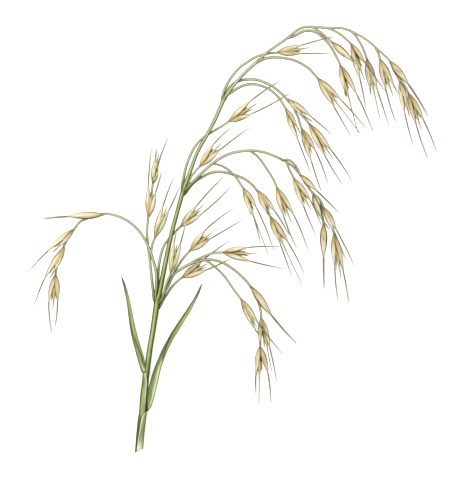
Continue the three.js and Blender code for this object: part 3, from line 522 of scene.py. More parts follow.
def leaf_sheet(rings, tinted, dry_from, is_lower):
    """The surface through the rings, moved half its thickness both ways along its normals, the
    cross product of its two directions. It is thinner at its margins and thicker at its midrib,
    and the lower leaf's foot is cut with the culm. Its tint is the greatest of its pale parts (the
    lower sheath's pale margin, the pale foot and the painted highlight strip), the dryness from a
    share of its length on, and the greatest of its dark parts, which are painted shade: the outline,
    the valley and the cut edge. Each of those falls off as a bell curve from its middle, and the
    outline falls off straight from the edge."""
    rows, run = evenly(curve(rings), LEAF_STEP)
    in_sheath, half, surface = rows[:, 3:4], rows[:, 4:5], rows[:, 5:].reshape(len(rows), -1, 3)
    normal = unit(np.cross(np.gradient(surface, axis=0), np.gradient(surface, axis=1)))
    thick = LEAF_THICKNESS * (1 - MARGIN_THINNING * ACROSS**4
                              + MIDRIB_RISE * np.exp(-(ACROSS / MIDRIB_WIDTH) ** 2))[None, :, None]
    ahead, side, rise = directions(rows[:, :3])
    if is_lower:
        from_foot = surface[:1] - rows[:1, None, :3]
        cut = slanted(from_foot @ side[0], from_foot @ rise[0], run)
        surface = surface + cut[..., None] * ahead[:, None]
    grid, v, face = two_faced(ACROSS, surface + normal * thick / 2, surface - normal * thick / 2)
    dry = np.clip(((run / run[-1])[:, None] - dry_from) / (1 - dry_from), 0, 1)
    margin_from = np.interp(half, MARGIN_HALF, MARGIN_FROM)
    margin = is_lower * in_sheath * np.clip((np.abs(v) - margin_from) / MARGIN_BLEND, 0, 1)
    level = np.einsum("ijk,ik->ij", grid, side)
    least, most = level.min(axis=1, keepdims=True), level.max(axis=1, keepdims=True)
    cross = (2 * level - least - most) / (most - least)
    from_edge = (1 - np.abs(cross)) * (most - least) / 2
    tinted = np.array(tinted).T
    valley_at, painted_valley_shade, strip_at, strip = (
        np.interp(ORIGIN_DOWN - rows[:, 1], tinted[0], column)[:, None] for column in tinted[1:])
    # Painted shade along the valley
    painted_valley_shade = painted_valley_shade * np.exp(-((cross - valley_at) / (VALLEY_WIDTH + SHEATH_VALLEY_MORE * in_sheath)) ** 2)
    # Painted highlight strip, which on the upper sheath also follows its pale margin
    strip = np.minimum(strip * np.exp(-((cross - strip_at) * (most - least) / 2 / STRIP_WIDTH) ** 2), 1)
    on_left = 0 if is_lower else LEFT_OUTLINE * np.interp(half, LEFT_OUTLINE_HALF, [0, 1]) * (cross < 0)
    outline_width = OUTLINE_WIDTH * (BLADE_OUTLINE + (1 - BLADE_OUTLINE) * in_sheath + on_left)
    # The outline: painted shade along the edges as seen from above
    outline = np.clip(OUTLINE_REACH - from_edge / outline_width, 0, 1)
    outline = outline * (1 - OUTLINE_COVERED * np.maximum(margin, strip))
    foot = is_lower * np.exp(-(run / FOOT_LENGTH) ** 2)[:, None]
    foot_pale = is_lower * np.exp(-(run / PALE_LENGTH) ** 2)[:, None] * (1 - cross**4)
    # Dark: painted shade. Pale: the sheath's margin and foot, and the painted highlight strip
    dark = np.maximum(np.maximum(outline, VALLEY_SHADE * painted_valley_shade), FOOT_SHADE * foot)
    pale = np.maximum(margin, np.maximum(foot_pale, STRIP_PALENESS * strip))
    return grid, stacked(v, face, run[:, None]), stacked(pale, dry, dark), 0


def ligule(foot, middle, half, radius, height):
    """A papery collar round the culm: a sheet at the radius, over the angles middle - half to
    middle + half from the top round to the right, drawn upwards along the culm by a height that is
    greatest at its middle and nothing at its two margins."""
    foot = place([foot])[0]
    ahead, side, rise = (each[nearest_to(foot, culm_line)] for each in directions(culm_line))
    angle = np.radians(middle + half * ACROSS)[:, None]
    around = np.sin(angle) * side + np.cos(angle) * rise
    lift = np.linspace(0, 1, LIGULE_ROWS)[:, None, None]
    sheet = foot + radius * around + lift * height * (1 - ACROSS**6)[:, None] * ahead
    away = LIGULE_HALF_THICKNESS * around
    return two_faced(ACROSS, sheet + away, sheet - away)[0], np.zeros(3), np.zeros(3), 1


# Living grass leaf: matt green with a slight wax, nerves 0.3 mm apart along it, a pale midrib and
# darker margins, and on each face one half a little paler, which is painted light. It pales to
# yellowish white at the cut foot of the sheath, and dries grey brown. Its pale tint also lays on a
# painted highlight strip, and its dark tint lays painted shade along the outlines, the valleys and
# the cut edge.
leaf_green, tree, spot, on_it, given = grown("living grass leaf, waxed skin")
turned = add(tree, "MapRange", {"Value": on_it[0], "From Min": -1.0, "From Max": 1.0})
# Its first face: a pale midrib, and one half a little paler as painted light
skin = add(tree, "ValToRGB", {"Fac": turned}, {
    0: "#AEBC82", 0.25: "#BDCB93", 0.46: "#B9C78F", 0.5: "#CFDBAB", 0.54: "#A5B379", 0.75: "#AAB87E",
    1: "#9CAA70"})
# Its other face: a darker midrib, and the other half a little paler as painted light
outer = add(tree, "ValToRGB", {"Fac": turned}, {
    0: "#A5B379", 0.3: "#B3C187", 0.46: "#AFBD83", 0.5: "#8E9C63", 0.54: "#B5C38B", 0.8: "#BECB94",
    1: "#A9B67E"})
faced = add(tree, "Mix", {0: on_it[1], 6: skin, 7: outer}, **BLENDED)
nerve, streak = grained(tree, spot, (3.6, 0.0, 0.1), {0.34: "#8C9C6A", 0.5: "#E2E7CC", 0.66: "#FFFFF0"},
                        Scale=1.5, Detail=4.0, Roughness=0.6)
nerved = add(tree, "Mix", {0: 0.8, 6: faced, 7: streak}, **TINTED)
dry_skin = add(tree, "ValToRGB", {"Fac": given[1]}, {0: "#A8AE86", 0.5: "#8C866C", 1: "#756C5E"})
dry_part = add(tree, "MapRange", {"Value": given[1], "From Max": 0.45})
dried = add(tree, "Mix", {0: dry_part, 6: nerved, 7: dry_skin}, **BLENDED)
# Pale: the sheath's margin and cut foot, and the painted highlight strip
pale_and_highlight = add(tree, "Mix", {0: given[0], 6: dried, 7: linear("#F4F9D6")}, **BLENDED)
# Painted shade: the outlines, the valleys and the cut edge
shaded = add(tree, "Mix", {0: given[2], 6: pale_and_highlight, 7: linear("#414D24")}, **BLENDED)
ridged = add(tree, "Bump", {"Height": nerve, "Distance": 0.00005, "Strength": 0.5})
finish(tree, Base_Color=shaded, Normal=ridged, Roughness=0.55, IOR=1.42, Specular_IOR_Level=0.12)

# Ligule: a thin dry membrane, off white with a little green, and a fine torn grain.
membrane, tree = blank("dry papery membrane")
where = add(tree, "TexCoord").outputs["Object"]
grain = add(tree, "TexNoise", {"Vector": where, "Scale": 2600.0, "Detail": 2.0})
shade = add(tree, "ValToRGB", {"Fac": grain}, {0.3: "#D2DCA0", 0.7: "#E8EFBC"})
finish(tree, Base_Color=shade, Roughness=0.6, IOR=1.4)

lower_rings = np.vstack([rolled(LOWER_SHEATH, -0.13), opened(LOWER_BLADE)])
lower_ligule = ligule((71.1, 206.3, 2.1), middle=132, half=86, radius=1.95, height=0.7)
add_piece("lower_leaf_sheet", [leaf_sheet(lower_rings, LOWER_TINT, 0.86, True), lower_ligule],
          [leaf_green, membrane], "lower_leaf")
upper_rings = np.vstack([rolled(UPPER_SHEATH, 0.08), opened(UPPER_BLADE)])
upper_ligule = ligule((72.8, 189.6, 2.1), middle=-84, half=100, radius=1.55, height=3.1)
add_piece("upper_leaf_sheet", [leaf_sheet(upper_rings, UPPER_TINT, 0.82, False), upper_ligule],
          [leaf_green, membrane], "upper_leaf")

# The branches: hair-thin stalks that leave the culm in whorls and carry a spikelet at each end.
# Each is one piece with its side stalks, thinning outwards and drying to straw near a spikelet.
# A branch's first route leaves the culm, and the others leave that one.
BRANCH_RADIUS = 0.74
FOOT_RUN, FOOT_DARKNESS, FOOT_BLEND = 3.0, 0.2, 1.6
# The green of the lower branches' feet is deeper, and fades over this length.
FOOT_GREEN, FOOT_GREEN_LENGTH = 0.4, 9
# A stalk is fully grey this far from its start, and how grey a foot is depends on where it grows.
GREY_RUN, GREYNESS, STALK_STRAW = 16, 0.92, 1.1
FOOT_GREYNESS, SIDE_GREYNESS = [0.3, 0.9], 0.7
STALKS = {
  "crown_inner": [
    [(146.8, 18.1, 17.1), (148.6, 17.2, 17), (151, 15.9, 16.9), (154, 15.3, 16.7), (157, 15.8, 16.3),
     (160, 17.5, 15.9), (163, 20.3, 15.2), (165.5, 23.5, 14.7), (167.5, 27, 14.2), (169.3, 30.6, 13.7),
     (170, 32.3, 13.5)]],
  "crown_outer": [
    [(131, 30, 18.3), (132.6, 29.3, 18.2), (136, 28.7, 18.2), (140, 28.8, 18), (144, 29.4, 17.6),
     (148, 30.5, 17), (151.5, 32.3, 16.3), (154.5, 34.3, 15.6), (157, 37, 14.9), (158.8, 39, 14.5)]],
  "upper_rear": [
    [(111.2, 48.6, 16.1), (112, 45.6, 16), (114.1, 41.1, 15.9), (116.6, 37.4, 15.8), (119.9, 33.7, 15.8),
     (124, 30.8, 15.8), (129, 28, 15.9), (133, 27, 16), (136, 26.5, 16), (138.5, 26.3, 16)]],
  "upper_middle": [
    [(113.2, 46.6, 15.6), (114.5, 44, 15.5), (117.4, 41.5, 15.4), (120, 40.3, 15.5), (125, 39.7, 15.8),
     (129, 40, 15.9), (132.5, 41.3, 15.8), (136, 43, 15.7), (139, 45.3, 15.4), (142, 48, 15),
     (145, 51.5, 14.4), (148.5, 55, 13.8), (152.5, 59.5, 13.2), (154.3, 61.5, 13)],
    [(146.7, 53.2, 14.1), (147.5, 55.5, 13.7), (149, 58.5, 13), (150, 62, 12.4), (150.8, 64.3, 12)]],
  "upper_front": [
    [(115.6, 46.2, 17), (119, 44, 17.1), (122.5, 42.5, 17), (126.5, 42.1, 16.8), (130, 42.7, 16.6),
     (133.5, 44, 16.2), (136.5, 46, 15.8), (139.5, 49, 15.3), (141.5, 52, 14.9), (142.8, 54.3, 14.6)]],
  "middle_rear": [
    [(91, 93.5, 11.1), (91.8, 89, 11.4), (93, 83.5, 11.8), (95, 78, 12.1), (97, 74, 12.3),
     (99.5, 70.8, 12.5), (102, 68.5, 12.7), (105.5, 66.3, 13), (111, 63, 13.3), (114.3, 60.8, 13.5)]],
  "middle_arch": [
    [(93.1, 94.4, 12.4), (94.5, 93, 12.8), (97.5, 90, 13.3), (101.5, 86, 13.9), (107.5, 80.8, 14.8),
     (115, 76.8, 15.6), (124.5, 75.3, 15.8), (131, 75.9, 15.3), (136, 77.5, 14.6), (140, 79.3, 13.8),
     (146, 82.8, 12.5), (150, 87.3, 11), (153, 92, 9.8), (156, 96, 9), (160, 100, 8.2), (161.5, 103, 7.6),
     (164, 109, 6.4), (166.3, 114.5, 5.6), (167, 116.5, 5.2)],
    [(93.9, 93.6, 12.7), (94.7, 90.5, 13.7), (95.8, 88, 14.1), (97.5, 85.8, 14.4), (99.8, 83.3, 14.8)],
    [(106, 82, 14.6), (111, 83, 14), (114, 84.8, 13.6), (117.5, 88, 13.1), (121.5, 94, 12.2)],
    [(124.5, 75.4, 15.8), (128.7, 78.2, 15), (132.7, 83.4, 13.8), (137, 90.3, 12.8), (138.3, 93.5, 12.5)],
    [(143, 80.9, 13.2), (144.5, 84.3, 12.8), (145.8, 87, 12.5), (146.8, 89, 12.3)],
    [(141.3, 79.9, 13.9), (144.2, 79.9, 13.7), (147, 81.8, 13.2), (149, 84.8, 12.6), (150, 87.3, 12.2)],
    [(160, 100, 8.2), (160.8, 104, 7), (161.3, 108, 6), (161.8, 111.5, 5.4)]],
  "middle_front": [
    [(93.2, 96, 11.1), (95, 93.4, 11.2), (98, 90.5, 11.6), (101.5, 88.3, 12), (105, 86.6, 12),
     (109, 85.9, 11.9), (113, 86.3, 11.7), (116.5, 87.3, 11.4), (122, 89.3, 10.7), (126.5, 92.8, 10),
     (129, 96, 9.2), (131.5, 100.5, 8.4), (134, 105.5, 7.4), (135, 108, 6.9)]],
  "lower_rear": [
    [(78.9, 145.3, 4.1), (79, 140, 4.6), (79.2, 135, 5), (79.8, 130.5, 5.5), (81, 125.5, 6),
     (82.5, 122, 6.2), (84.5, 119.3, 6.4), (87.8, 115.8, 6.8), (90.3, 113.3, 7)]],
  "left_upright": [
    [(77, 149.6, 4.2), (76.5, 145, 4.6), (75.8, 139, 5.1), (74.8, 129, 5.5), (74, 124, 5.6),
     (73.7, 120, 5.5), (73.5, 116, 5.2), (74, 109.5, 4.6), (75, 102, 3.9), (76, 95, 3.4), (76.4, 92, 3.2)]],
  "left_arch": [
    [(77.8, 148, 5.9), (78.2, 142.5, 6.8), (78, 136, 7.4), (76.8, 131, 7.9), (74.5, 124, 8.4),
     (70.5, 116.8, 8.8), (66.5, 112.5, 9), (63.5, 110.3, 8.9), (60, 108.5, 8.7), (56, 107.3, 8.4),
     (52.5, 106.9, 8), (48, 107.9, 7.5), (43.5, 109.3, 7), (40, 111, 6.5), (37.3, 114.3, 5.9),
     (32.5, 122, 5), (28.5, 133, 4), (27.8, 137, 3.7)],
    [(75.7, 127.5, 8.2), (76, 123, 8.7), (76.8, 120.5, 8.9), (77.3, 119.3, 9)]],
  "right_fan": [
    [(80.5, 150, 5.3), (82.5, 145.5, 5.7), (84.5, 142, 6.1), (86, 138.5, 6.4), (87.8, 136.3, 6.7),
     (90.5, 134.5, 7), (95.5, 131.8, 7.5), (98.5, 130.8, 7.3), (104.5, 129.8, 7), (110.5, 131, 6.3),
     (116.5, 134.5, 5.4), (122.5, 139.8, 4.4), (125.3, 143.3, 3.7), (129, 150.5, 2.8), (130.5, 157, 2.2),
     (130.3, 165, 1.8), (130, 173, 1.7)],
    [(82.1, 146.4, 5.6), (82.8, 143.3, 6.9), (84, 140, 7.7), (85.3, 137, 8.4)],
    [(85.3, 140, 6.2), (87.5, 135.5, 6.3), (89.5, 132.3, 6.5), (91.5, 129.3, 6.9), (94.8, 125.5, 7.4)],
    [(95, 132, 7.4), (97.5, 130.3, 7.8), (101, 128.6, 8.3), (107, 126.5, 9), (111.5, 126.2, 9.2)],
    [(102, 130, 7.1), (107.5, 133.5, 6.5), (112.5, 138.5, 5.9), (116.8, 144.7, 5.6), (120.3, 149.3, 5.6)]],
  "right_low": [
    [(80, 153, 3.7), (81.5, 150, 3.9), (83.5, 147, 4.1), (85.5, 144, 4.2), (88, 141.3, 4.4),
     (90, 139.5, 4.5), (91, 138.8, 4.6)]],
}


def stalk(route, radius, grown_from, grey_foot):
    """A thin stalk along a route. It starts in the middle of what it grows from, a short way back
    along it, and leaves it gradually, a little darker there and swollen under the spikelet."""
    places = place(route)
    parent, parent_run = grown_from
    start = max(parent_run[nearest_to(places[0], parent)] - FOOT_RUN, 0)
    places = np.vstack([resampled(parent[:, :3], parent_run, [start]), places])
    rows, run = evenly(curve(places), STALK_STEP)
    left = run[-1] - run
    reach = np.interp(run, [0, run[-1]], [radius, STALK_RADIUS])
    reach += STALK_SWELLING * np.exp(-left / SWELLING_LENGTH)
    darkness = FOOT_DARKNESS * np.exp(-((run - FOOT_RUN) / FOOT_BLEND) ** 2)
    darkness += FOOT_GREEN * (1 - grey_foot) * np.exp(-((run - FOOT_RUN) / FOOT_GREEN_LENGTH) ** 2)
    dryness = np.interp(run, [FOOT_RUN, GREY_RUN], [grey_foot, GREYNESS])
    dryness += STALK_STRAW * np.clip(1 - left / STRAW_LENGTH, 0, 1)
    return tube(rows, reach, STALK_SIDES, dryness, darkness)


for branch, routes in STALKS.items():
    main_line = evenly(curve(place(routes[0])), STALK_STEP)
    foot = culm_run[nearest_to(main_line[0][0, :3], culm_line)] / culm_run[-1]
    grey_foot = np.interp(foot, [GREYS_FROM, GREYS_BY], FOOT_GREYNESS)
    shells = [stalk(routes[0], BRANCH_RADIUS, (culm_line, culm_run), grey_foot)]
    shells += [stalk(route, STALK_RADIUS, main_line, SIDE_GREYNESS) for route in routes[1:]]
    stem_lines[branch] = [evenly(curve(place(route)), STALK_STEP)[0] for route in routes]
    add_piece("stalks_" + branch, shells, [culm_green], "branch_" + branch)

# The spikelets. Two boat-shaped papery glumes stand face to face on a stalk and run out into
# awns, and a smaller, harder floret of three husks sits between them. Where one is seen from its
# back, one glume hides the other. A short stalk joins one that lies beside its stem.
BODY_WIDTH, BACK_WIDTH, BACK_SHARE, BODY_DEPTH = 2.65, 3.8, 0.27, 1.9
# Along a husk, 0 is its base, 1 its shoulder and 2 its awn's tip. The share of its full width that
# it has, its awn's width, and the half angle that closes it, each read off between these places
WIDTH_AT = [0, 0.08, 0.2, 0.32, 0.43, 0.55, 0.68, 0.8, 0.9, 1.0]
WIDTH_SHARE = [0.18, 0.34, 0.66, 0.9, 1.0, 0.97, 0.85, 0.66, 0.46, 0.26]
AWN_AT = [0, 0.9, 1, 1.2, 1.55, 2]
AWN_WIDTH = [0.5, 0.45, 0.54, 0.38, 0.29, 0.12]
OPEN_AT = [0, 0.1, 0.3, 0.6, 0.95, 2]
CLOSED, NEARLY_CLOSED = 178, 160
FLORET_AWN_MORE = 0.35
BELLY_AT, BULGE, BULGE_EASING = 0.45, 0.25, 6
SHELL, SHELL_SHARE, KEEL_WIDTH = 0.12, 0.3, 0.09
BODY_RINGS, AWN_RINGS, HUSK_POINTS = 26, 12, 17
# A husk's edge painted lit lies on this side, and its edge painted in shade on the other. Its tone moves
# its grain this far along.
PAINTED_LIT_SIDE, TONE_SHIFT = (1.0, 0.4, 0.0), 40
HEEL, LEAN, BOW = 0.5, 14, 0.014
PAIR_OPENING, BACK_OPENING, FLORET_OPENING = 128, 150, 140
PAIR_KEEL, BACK_KEEL, FLORET_KEEL = 0.09, 0.05, 0.04
JOINED_PAST, JOINING_BACK, JOINING_ON, JOINING_STEP = 0.5, 1.5, 0.6, 0.4
JOINING_RADII, JOINING_DRYNESS = (0.52, 0.36), 1.3
# A floret's place by its number of glumes: how much of their length it shows, and its height
FLORET_SHOWN, FLORET_RISE = {1: 0.7, 2: 0.95}, {1: -0.4, 2: 0.1}
GLUME_SHARE, FLORET_START, NECK_SHARES = 0.97, 0.26, (0.78, 0.92)
# Its husks: the most of its own length and of the glumes' that each has, how far it turns
# sideways, its width and depth, how far its end rises
FLORET_HUSKS = [
    (1.0, np.inf, 0.0, (1.4, 1.8), 0.2), (0.92, 1.12, 0.12, (1.1, 1.3), -0.1),
    (0.8, 0.95, -0.14, (1.0, 1.2), -0.2),
]
# A spikelet's row gives its base, each glume's shoulder and awn tip and, if it shows, its
# floret's tip.
SPIKELETS = {
  "nodding_tip": [
    [(165.8, 21, 15.6), (176, 30.2, 15.7), (177, 31.2, 15.7)],
    [(175.5, 21.8, 14.5), (180, 39.5, 12.8), (183, 54.5, 10.5), (182.5, 31.5, 13.8), (192.5, 45.5, 12.7),
     (182.3, 40, 12.6)],
    [(183.3, 29, 11.7), (188.5, 44.5, 9.8), (194.3, 62.5, 6.5), (185, 44, 9.8), (185.3, 47.5, 9.5),
     (189.9, 59, 7.2)],
    [(190, 29.5, 11.1), (192.5, 43, 9.4), (197.8, 61, 6.5), (196.5, 42, 9.6), (199, 47, 9.2),
     (196.5, 47.8, 8.7)],
    [(194.9, 30.5, 12.2), (203.8, 41.6, 11.8), (214, 58, 10)],
    [(199.8, 40.5, 8.9), (202.3, 56, 7.4), (206.8, 73.3, 4.5), (203.4, 53, 8), (204.8, 58.5, 7.6)],
    [(204, 46.3, 7.6), (208, 62, 3.8), (213.8, 79.3, 0.31), (211.5, 59.5, 3.8), (218.3, 76, 0.31),
     (210.8, 64.5, 3.2)]],
  "crown_inner": [
    [(170, 32.3, 13.5), (172.8, 46, 11.8), (173.4, 48.5, 11.6), (178, 46.5, 11.8), (186.5, 65.8, 9.4),
     (179, 66.5, 9.6)]],
  "crown_outer": [
    [(158.8, 39, 14.5), (166.5, 52.5, 13.6), (175.3, 67.8, 12.6), (170, 49.5, 13.6), (183.3, 64.5, 12.4),
     (180.3, 67, 12.6)]],
  "upper_rear": [
    [(138.5, 26.3, 16), (150, 22.8, 15), (166.8, 18.2, 13.4), (150.5, 26.7, 15), (164.8, 26.7, 13.8),
     (154.8, 23.8, 14.8)]],
  "upper_middle": [
    [(144, 49.5, 16), (155.5, 58.3, 15.6), (165.5, 67, 14.4), (151.5, 57.5, 15.4), (156.5, 60.9, 15.2)],
    [(154.3, 61.5, 13), (162, 77, 12), (171.5, 92.8, 10.5), (165.5, 75, 12), (175.8, 90, 10.5),
     (166.5, 79.3, 11.8)],
    [(150.8, 64.3, 12), (157.5, 75, 11), (164, 92, 9.3), (155.5, 80, 10.9), (160.5, 95.5, 9.3)]],
  "upper_front": [
    [(142.8, 54.3, 14.6), (149, 70, 13.8), (155.3, 86.5, 12.2), (148.3, 63, 14.1), (150.3, 67, 14)]],
  "middle_rear": [
    [(114.3, 60.8, 13.5), (125, 50.8, 13.4), (140.8, 39.8, 13.2), (125.5, 57, 13.4), (145.5, 46.3, 13.1),
     (128.3, 51.8, 13.4)]],
  "middle_arch": [
    [(99.8, 83.3, 14.8), (106.5, 72.5, 15.2), (115.8, 63.5, 15.6), (109.5, 75.3, 15.2), (125, 63.5, 15.6),
     (110.8, 71.3, 15.2)],
    [(121.5, 94, 12.2), (128, 103.5, 11.6), (136.9, 125.3, 10.6), (126.8, 108.5, 11.4),
     (130.2, 121.8, 10.6), (134, 126.8, 10.4)],
    [(138.3, 93.5, 12.5), (141.5, 107, 11.5), (148.4, 124.4, 10.3), (146.5, 106.8, 11.6), (154, 125, 10.3),
     (145.8, 111.3, 11.3)],
    [(146.8, 89, 12.3), (151.5, 102.3, 11.9), (158, 117.8, 11.3), (155, 100, 11.9), (160.5, 112.5, 11.3),
     (155.5, 105, 11.7)],
    [(150, 87.3, 12.2), (158, 95, 11.5), (169.5, 106.3, 10.4)],
    [(156.3, 97.5, 10), (160.8, 109, 9.7), (165, 115, 9.3)],
    [(161.8, 103.5, 8.8), (168, 114.5, 8.3), (177.3, 133.3, 7.4), (167, 115.5, 8.2), (172.9, 130, 7.6)],
    [(161.8, 111.5, 5.4), (161.8, 128, 4.4), (161.9, 144.5, 3.2)],
    [(167, 116.5, 5.2), (167.3, 132.5, 2.8), (169, 151.5, 0.31), (171.5, 135, 2.6), (174.3, 151.5, 0.31),
     (170.5, 139, 2.2)]],
  "middle_front": [
    [(129, 95.3, 10.9), (137.3, 105.5, 10.3), (144.8, 117.8, 8.8), (133.3, 105.8, 10.2),
     (134.6, 108.2, 10)],
    [(135, 108, 6.9), (139.8, 121, 5.8), (145.8, 138, 4), (143.8, 120.8, 5.8), (152, 136.5, 4),
     (150.9, 142.3, 3.6)]],
  "lower_rear": [
    [(90.3, 113.3, 7), (98, 103.3, 7.5), (111.5, 88.5, 8), (100.8, 106.8, 7.5), (115.3, 93.5, 8),
     (101.8, 102.3, 7.5)]],
  "left_upright": [
    [(74.3, 108.8, 5.9), (74.2, 93, 5.3), (75.8, 73, 3.2), (77.8, 96.5, 5.3), (80.9, 85.8, 4.6)],
    [(76.4, 92, 3.2), (77.8, 79, 1.8), (78.2, 74.5, 1.3), (78.8, 83, 1.8), (83.8, 68.8, 0.31),
     (79.4, 76.8, 1.4)]],
  "left_arch": [
    [(52, 107.3, 9.2), (34.5, 108.2, 8.7), (20.3, 109.4, 7.5)],
    [(37.3, 114.3, 7.2), (25, 124.5, 6.7), (14, 136, 3.5), (28.5, 124, 6.8), (26.3, 126.3, 6.6)],
    [(32.3, 123, 6.3), (22.5, 139, 5.5), (17, 153, 2.5), (27, 135.5, 5.6), (24.7, 139.5, 5.4)],
    [(27.8, 137, 3.7), (24.5, 150, 2), (25.8, 166.5, 0.31), (28.8, 150, 2), (27.5, 163.5, 0.31),
     (26.4, 154.8, 1.6)],
    [(77.3, 119.3, 9), (81.3, 103.8, 9.8), (86.9, 88.3, 11), (84.5, 105, 9.8), (89.8, 93.5, 10.8),
     (83.5, 103.3, 9.9)]],
  "right_fan": [
    [(85.3, 137, 8.4), (87, 121.5, 10.5), (88.3, 115.8, 11.4), (90.3, 121.5, 10.4), (92.7, 111.5, 11.2)],
    [(94.8, 125.5, 7.4), (102.5, 115.3, 7.9), (116.8, 104, 8.5), (105, 119.5, 7.9), (121.3, 109.8, 8.5),
     (106.3, 115.8, 8)],
    [(111.5, 126.2, 9.2), (123.5, 123.8, 8.8), (140, 123.3, 8), (125, 130.5, 8.8), (142, 134.3, 8),
     (128.8, 127, 8.7)],
    [(125.3, 143, 5.2), (135.5, 157.3, 4.8), (148.3, 171.8, 3.2)],
    [(130.8, 159, 3.7), (134.8, 173.5, 3.4), (138.3, 190.8, 2.4), (129.8, 171.5, 3.4), (129.8, 173, 3.4),
     (135.8, 185.5, 2.8)],
    [(130, 173, 1.7), (128, 187, 1.1), (127.8, 197, 0.31), (133.8, 186, 1.1), (135.4, 201.3, 0.31),
     (129.4, 202.8, 0.31)],
    [(120.3, 149.3, 5.6), (128.5, 160.8, 5.7), (141, 176.8, 4.8), (127.5, 164.5, 5.2), (129, 167, 5.1),
     (128.3, 163.3, 5.9)]],
  "right_low": [
    [(91, 138.8, 4.6), (101.5, 130, 5), (114.8, 120.3, 5.2), (103, 135, 4.8), (115.3, 129.3, 4.8),
     (103.8, 131.8, 4.9)]],
}
AROUND = np.linspace(-1, 1, HUSK_POINTS)
SHARES = np.concatenate([np.linspace(0, 1, BODY_RINGS), 1 + np.linspace(0, 1, AWN_RINGS + 1)[1:]])
chance = np.random.default_rng(3154)


def husk(base, shoulder, tip, bow, keel_way, size, opening, mark, tone, keel, back_seen):
    """A boat-shaped husk that runs out into an awn. Its path goes through the base, a belly bowed
    to one side, the shoulder, the awn's middle, bulged the body's way, and the tip. Across it, at
    the angle f times a half angle, f running from one margin to the other: the keel direction
    times the cosine, the flank direction times the sine, on half axes that swell and shrink along
    the body. The half angle is nearly 180 degrees where the husk is closed and less along its
    belly. A smaller copy of each arc is its inside. The tint holds the share along it, its tone,
    and the place across its visible width, from its edge painted in shade, 0, to its edge painted
    lit, 1, which its colour turns into painted shade at the edges and a painted highlight between."""
    body, beyond = shoulder - base, tip - shoulder
    belly = base + BELLY_AT * body + bow
    bulge = unit(body) - (unit(body) @ unit(beyond)) * unit(beyond)
    bulge *= BULGE * norm(beyond) / (1 + BULGE_EASING * norm(bulge))
    line = curve([base, belly, shoulder, shoulder + beyond / 2 + bulge, tip])
    run = run_of(line)
    bend = run[2 * SPAN_STEPS]
    share = np.where(run <= bend, run / bend, 1 + (run - bend) / (run[-1] - bend))
    rows = resampled(line, share, SHARES)
    ahead, _, _ = directions(rows)
    keel_dir = unit(keel_way - np.sum(ahead * keel_way, axis=1, keepdims=True) * ahead)
    flank_dir = np.cross(keel_dir, ahead)
    width, depth = size
    swell = np.interp(np.minimum(SHARES, 1), WIDTH_AT, WIDTH_SHARE)
    awn = np.interp(SHARES, AWN_AT, AWN_WIDTH) * (1 + FLORET_AWN_MORE * mark)
    wide, deep = np.maximum(width * swell, awn), np.maximum(depth * swell, awn)
    half_angle = np.radians(np.interp(
        SHARES, OPEN_AT, [CLOSED, NEARLY_CLOSED, opening, opening, CLOSED, CLOSED]))
    angle = half_angle[:, None] * AROUND
    long_axis = (wide / (1 - np.cos(half_angle)))[:, None]
    shift = -long_axis * (1 + np.cos(half_angle))[:, None] / 2
    wall = np.minimum(SHELL, SHELL_SHARE * awn)[:, None]
    ridge = keel * swell[:, None] * np.exp(-(AROUND / KEEL_WIDTH) ** 2)
    faces = []
    for inset in (0 * wall, wall):
        along_keel = (long_axis + ridge - inset) * np.cos(angle) + shift
        along_flank = (deep[:, None] / 2 - inset) * np.sin(angle)
        faces.append(rows[:, None] + along_keel[..., None] * keel_dir[:, None]
                     + along_flank[..., None] * flank_dir[:, None])
    grid, f, inside = two_faced(AROUND, *faces)
    # The place across its visible width, by which the colour paints shade at its edges and a highlight in
    # its middle
    level = along_flank if back_seen else along_keel
    lit = np.sign(flank_dir @ PAINTED_LIT_SIDE)[:, None] if back_seen else 1
    across = 0.5 + 0.5 * lit * level / np.abs(level).max(axis=1, keepdims=True)
    across = np.concatenate([across, across[:, ::-1]], axis=1)
    reached = np.interp(SHARES, share, run)[:, None] + TONE_SHIFT * tone
    return grid, stacked(f, inside, reached), stacked(SHARES[:, None], tone, across), mark


def turned_by(direction, axis, degrees):
    """A direction turned about an axis square to it: its cosine share, and the sine's share of the
    axis crossed with it."""
    angle = np.radians(degrees)
    return np.cos(angle) * direction + np.sin(angle) * np.cross(axis, direction)


